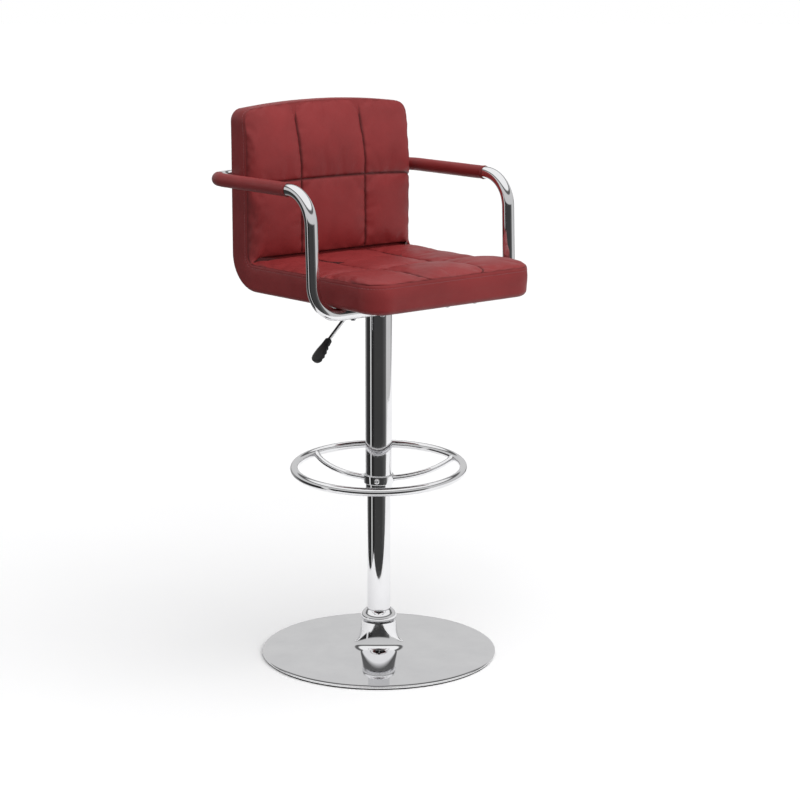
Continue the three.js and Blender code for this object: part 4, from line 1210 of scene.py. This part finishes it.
def quilted_pad(name, place, x_ticks, shares, share_seam, replaced, puff, seed):
    """A closed pad: a front face blown out between its seams, and a flat back that lies on the foam."""
    rows, columns = len(shares), len(x_ticks)
    grid = np.array([[place(x, share) for x in x_ticks] for share in shares], float)
    normals = surface_normals(grid)
    if name == "back_cushion" and normals[rows // 2, columns // 2, 1] > 0:
        normals = -normals
    if name == "seat_cushion" and normals[rows // 2, columns // 2, 2] < 0:
        normals = -normals
    x_seams = [-HALF_WIDTH, *QUILT_SEAMS, HALF_WIDTH]
    share_seams = [0.0, share_seam, 1.0]
    bulge = np.array([[pillow(x, x_seams) * pillow(share, share_seams) for x in x_ticks] for share in shares])
    uneven = np.array([[0.0006 * noise.noise(Vector((*grid[i, j] * 38,)) + Vector((seed, 0, 0))) for j in range(columns)]
                       for i in range(rows)])
    start = grid + normals * (bulge * 0.0015 + uneven * np.minimum(bulge * 6, 1))[..., None]
    on_seam = np.array([[min(abs(x - q) for q in x_seams) < 1e-5 or min(abs(share - q) for q in share_seams) < 1e-5
                         for x in x_ticks] for share in shares])
    faces = grid_faces(rows, columns)
    a, b, c = (Vector(start.reshape(-1, 3)[k]) for k in faces[len(faces) // 2][:3])
    if (b - a).cross(c - b).dot(Vector(normals[rows // 2, columns // 2])) < 0:
        faces = [face[::-1] for face in faces]
    flat = swell_panel(name + "_panel", start.reshape(-1, 3), faces, on_seam.reshape(-1), 4.0, 0.012, puff)
    moved = flat.reshape(rows, columns, 3)
    final = start + moved
    seam_shade_and_dirt = np.zeros((rows, columns))
    for i, share in enumerate(shares):
        for j, x in enumerate(x_ticks):
            span = np.linalg.norm(grid[-1, j] - grid[0, j])
            to_x = min(abs(x - seam) for seam in QUILT_SEAMS)
            to_share = abs(share - share_seam) * span
            to_edge = min(HALF_WIDTH - abs(x), share * span, (1 - share) * span)
            nearest = min(to_x, to_share, to_edge)
            here = Vector(grid[i, j])
            dent = 0.0030 * math.exp(-((min(to_x, to_share) / 0.0022) ** 2)) if to_edge > 1e-5 else 0.0
            ripple = pucker(nearest, here + Vector((seed, 0, 0)), 0.0022, 0.012) if nearest > 1e-5 else 0.0
            final[i, j] += normals[i, j] * (ripple - dent)
            # Painted shade, with some dirt, in the quilting grooves and along the pad's edge seams.
            quilting = math.exp(-((min(to_x, to_share) / 0.0021) ** 2))
            seam_shade_and_dirt[i, j] = max(quilting, 0.45 * math.exp(-to_edge / 0.0012))
    boundary = loop_of(columns, rows)
    points = [tuple(p) for p in final.reshape(-1, 3)]
    floor_start = len(points)
    for i, j in boundary:
        points.append(tuple(np.array(points[i * columns + j]) * 1.0 + np.array(replaced["into"]) * 0.0012))
    ring = len(boundary)
    centre = np.mean(np.array(points[floor_start:]), axis=0)
    for n, (i, j) in enumerate(boundary):
        m = (n + 1) % ring
        top_a = i * columns + j
        top_b = boundary[m][0] * columns + boundary[m][1]
        faces.append((top_a, top_b, floor_start + m, floor_start + n))
    last_ring = floor_start
    for shrink in (0.97, 0.9, 0.6, 0.3):
        first = len(points)
        for n in range(ring):
            edge_point = np.array(points[floor_start + n])
            points.append(tuple(centre + (edge_point - centre) * shrink))
        for n in range(ring):
            m = (n + 1) % ring
            faces.append((last_ring + n, last_ring + m, first + m, first + n))
        last_ring = first
    middle = len(points)
    points.append(tuple(centre))
    for n in range(ring):
        faces.append((last_ring + n, last_ring + (n + 1) % ring, middle))
    # Painted shade: the pad's hidden sides and underside are fully darkened.
    values = list(seam_shade_and_dirt.reshape(-1)) + [1.0] * (len(points) - rows * columns)
    pad = new_piece(name, points, faces, "seat", VINYL, values)
    smoothed(pad, 1)
    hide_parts(replaced["node"])
    return pad


PAD_EASE = eased_ticks(PAD_ROUND, 9)
PAD_X = ticks(-HALF_WIDTH, HALF_WIDTH, 0.0062, list(QUILT_SEAMS), PAD_EASE, PAD_EASE)
SEAT_DEPTH = PAD_FRONT_Y - SEAT_FRONT
SEAT_SEAM_SHARE = (SEAT_QUILT_Y - SEAT_FRONT) / SEAT_DEPTH
SEAT_SHARES = [value / SEAT_DEPTH for value in ticks(
    0, SEAT_DEPTH, 0.0062, [SEAT_QUILT_Y - SEAT_FRONT], eased_ticks(FRONT_CORNER, 13), eased_ticks(0.008, 3))]
BACK_HEIGHT = BACK_TOP - SEAT_TOP
BACK_SEAM_SHARE = (BACK_QUILT_Z - SEAT_TOP) / BACK_HEIGHT
BACK_SHARES = [value / BACK_HEIGHT for value in ticks(
    0, BACK_HEIGHT, 0.0062, [BACK_QUILT_Z - SEAT_TOP], eased_ticks(0.008, 3), eased_ticks(0.020, 8))]

quilted_pad("seat_cushion", seat_place, PAD_X, SEAT_SHARES, SEAT_SEAM_SHARE, {"node": "seat_pad", "into": (0, 0, -1)}, 0.0075, 1.0)
quilted_pad("back_cushion", back_place, PAD_X, BACK_SHARES, BACK_SEAM_SHARE, {"node": "back_pad", "into": (0, 1, 0)}, 0.0060, 5.0)

# ---------------------------------------------------------------- floor, light and camera


def floor_panel(name, right_low, right_high, near_low, near_high):
    """A piece of level floor, laid out to the camera's right and toward the camera."""
    corners = [(right_low, near_low), (right_high, near_low), (right_high, near_high), (right_low, near_high)]
    mesh = bpy.data.meshes.new(name)
    mesh.from_pydata([tuple(TO_RIGHT * r + TO_CAMERA * n) for r, n in corners], [], [(0, 1, 2, 3)])
    mesh.materials.append(FLOOR)
    panel = bpy.data.objects.new(name, mesh)
    bpy.context.scene.collection.objects.link(panel)
    return panel


FLOOR = floor_finish()
NEAR = {"left": -0.55, "right": 2.4, "back": -40.0, "front": 0.46}
FAR = 40.0
floor_panels = [floor_panel("floor_near", NEAR["left"], NEAR["right"], NEAR["back"], NEAR["front"])]
outlying = [
    floor_panel("floor_left", -FAR, NEAR["left"], NEAR["back"], FAR),
    floor_panel("floor_right", NEAR["right"], FAR, NEAR["back"], FAR),
    floor_panel("floor_front", NEAR["left"], NEAR["right"], NEAR["front"], FAR),
]
floor_panels += outlying
for panel in outlying:
    panel.visible_glossy = False
for panel in floor_panels:
    panel.visible_diffuse = False


def soft_sun(name, right, near, up, angle, strength):
    """A very broad light that falls evenly over the whole floor; it doesn't show in the chrome."""
    data = bpy.data.lights.new(name, "SUN")
    data.energy = strength
    data.angle = math.radians(angle)
    light = bpy.data.objects.new(name, data)
    toward = TO_RIGHT * right + TO_CAMERA * near + Vector((0, 0, up))
    light.rotation_euler = toward.to_track_quat("Z", "Y").to_euler()
    light.visible_glossy = False
    bpy.context.scene.collection.objects.link(light)


soft_sun("key_sun", 0.42, 0.42, 0.80, 85, 2.75)


def fill_ramp(node, stops):
    elements = node.color_ramp.elements
    while len(elements) < len(stops):
        elements.new(0.5)
    for element, (position, level) in zip(elements, stops):
        element.position = position
        element.color = (level, level, level, 1)


def studio_world():
    """White backdrop; in the chrome, a dark room with pale walls above and strips of light at the sides."""
    world = bpy.data.worlds.new("studio")
    world.use_nodes = True
    bpy.context.scene.world = world
    tree = world.node_tree
    tree.nodes.clear()

    def add(kind, **settings):
        made = tree.nodes.new("ShaderNode" + kind)
        for key, value in settings.items():
            setattr(made, key, value)
        return made

    def join(source, target):
        tree.links.new(source, target)

    direction = add("TexCoord").outputs["Generated"]
    parts = []
    for axis in (TO_RIGHT, TO_CAMERA):
        dot = add("VectorMath", operation="DOT_PRODUCT")
        join(direction, dot.inputs[0])
        dot.inputs[1].default_value = axis
        parts.append(dot.outputs["Value"])
    bearing = add("Math", operation="ARCTAN2")
    join(parts[0], bearing.inputs[0])
    join(parts[1], bearing.inputs[1])
    turn = add("MapRange")
    join(bearing.outputs["Value"], turn.inputs["Value"])
    turn.inputs["From Min"].default_value = -math.pi
    turn.inputs["From Max"].default_value = math.pi
    walls = add("ValToRGB")
    join(turn.outputs["Result"], walls.inputs["Fac"])
    stops = [(-180, 0.42), (-140, 0.30), (-122, 0.05), (-84, 0.02), (-79, 0.02), (-76, 0.75), (-68, 0.75), (-65, 0.015),
             (-44, 0.03), (-36, 0.05), (30, 0.05), (52, 0.10), (62, 0.13), (68, 0.62), (112, 0.62), (132, 0.40), (150, 0.08), (160, 0.42)]
    fill_ramp(walls, [((angle + 180) / 360, level) for angle, level in stops])
    height = add("SeparateXYZ")
    join(direction, height.inputs["Vector"])
    above = add("ValToRGB")
    join(height.outputs["Z"], above.inputs["Fac"])
    stops = [(0.03, 0.0), (0.07, 1.0)]
    fill_ramp(above, stops)
    ceiling = add("ValToRGB")
    join(height.outputs["Z"], ceiling.inputs["Fac"])
    fill_ramp(ceiling, [(0.07, 0.62), (0.45, 0.66), (0.50, 0.14), (0.60, 0.12), (0.67, 1.0), (1.0, 1.0)])
    room = add("MixRGB")
    join(above.outputs["Color"], room.inputs["Fac"])
    join(walls.outputs["Color"], room.inputs["Color1"])
    join(ceiling.outputs["Color"], room.inputs["Color2"])
    path = add("LightPath")
    lit = add("MixRGB")
    join(path.outputs["Is Glossy Ray"], lit.inputs["Fac"])
    lit.inputs["Color1"].default_value = (0.41, 0.41, 0.415, 1)
    join(room.outputs["Color"], lit.inputs["Color2"])
    seen = add("MixRGB")
    join(path.outputs["Is Camera Ray"], seen.inputs["Fac"])
    join(lit.outputs["Color"], seen.inputs["Color1"])
    seen.inputs["Color2"].default_value = (1.0, 1.0, 1.0, 1)
    background = add("Background")
    join(seen.outputs["Color"], background.inputs["Color"])
    output = add("OutputWorld")
    join(background.outputs["Background"], output.inputs["Surface"])


def camera():
    data = bpy.data.cameras.new("camera")
    data.lens = VIEW_LENS
    data.sensor_width = 36.0
    data.shift_x = VIEW_SHIFT
    data.clip_end = 100.0
    eye = bpy.data.objects.new("camera", data)
    eye.location = TO_CAMERA * VIEW_DISTANCE + Vector((0, 0, VIEW_HEIGHT))
    look = -TO_CAMERA * math.cos(VIEW_PITCH) - Vector((0, 0, math.sin(VIEW_PITCH)))
    eye.rotation_euler = look.to_track_quat("-Z", "Y").to_euler()
    bpy.context.scene.collection.objects.link(eye)
    bpy.context.scene.camera = eye


studio_world()
camera()
bpy.context.scene.view_settings.view_transform = "Standard"
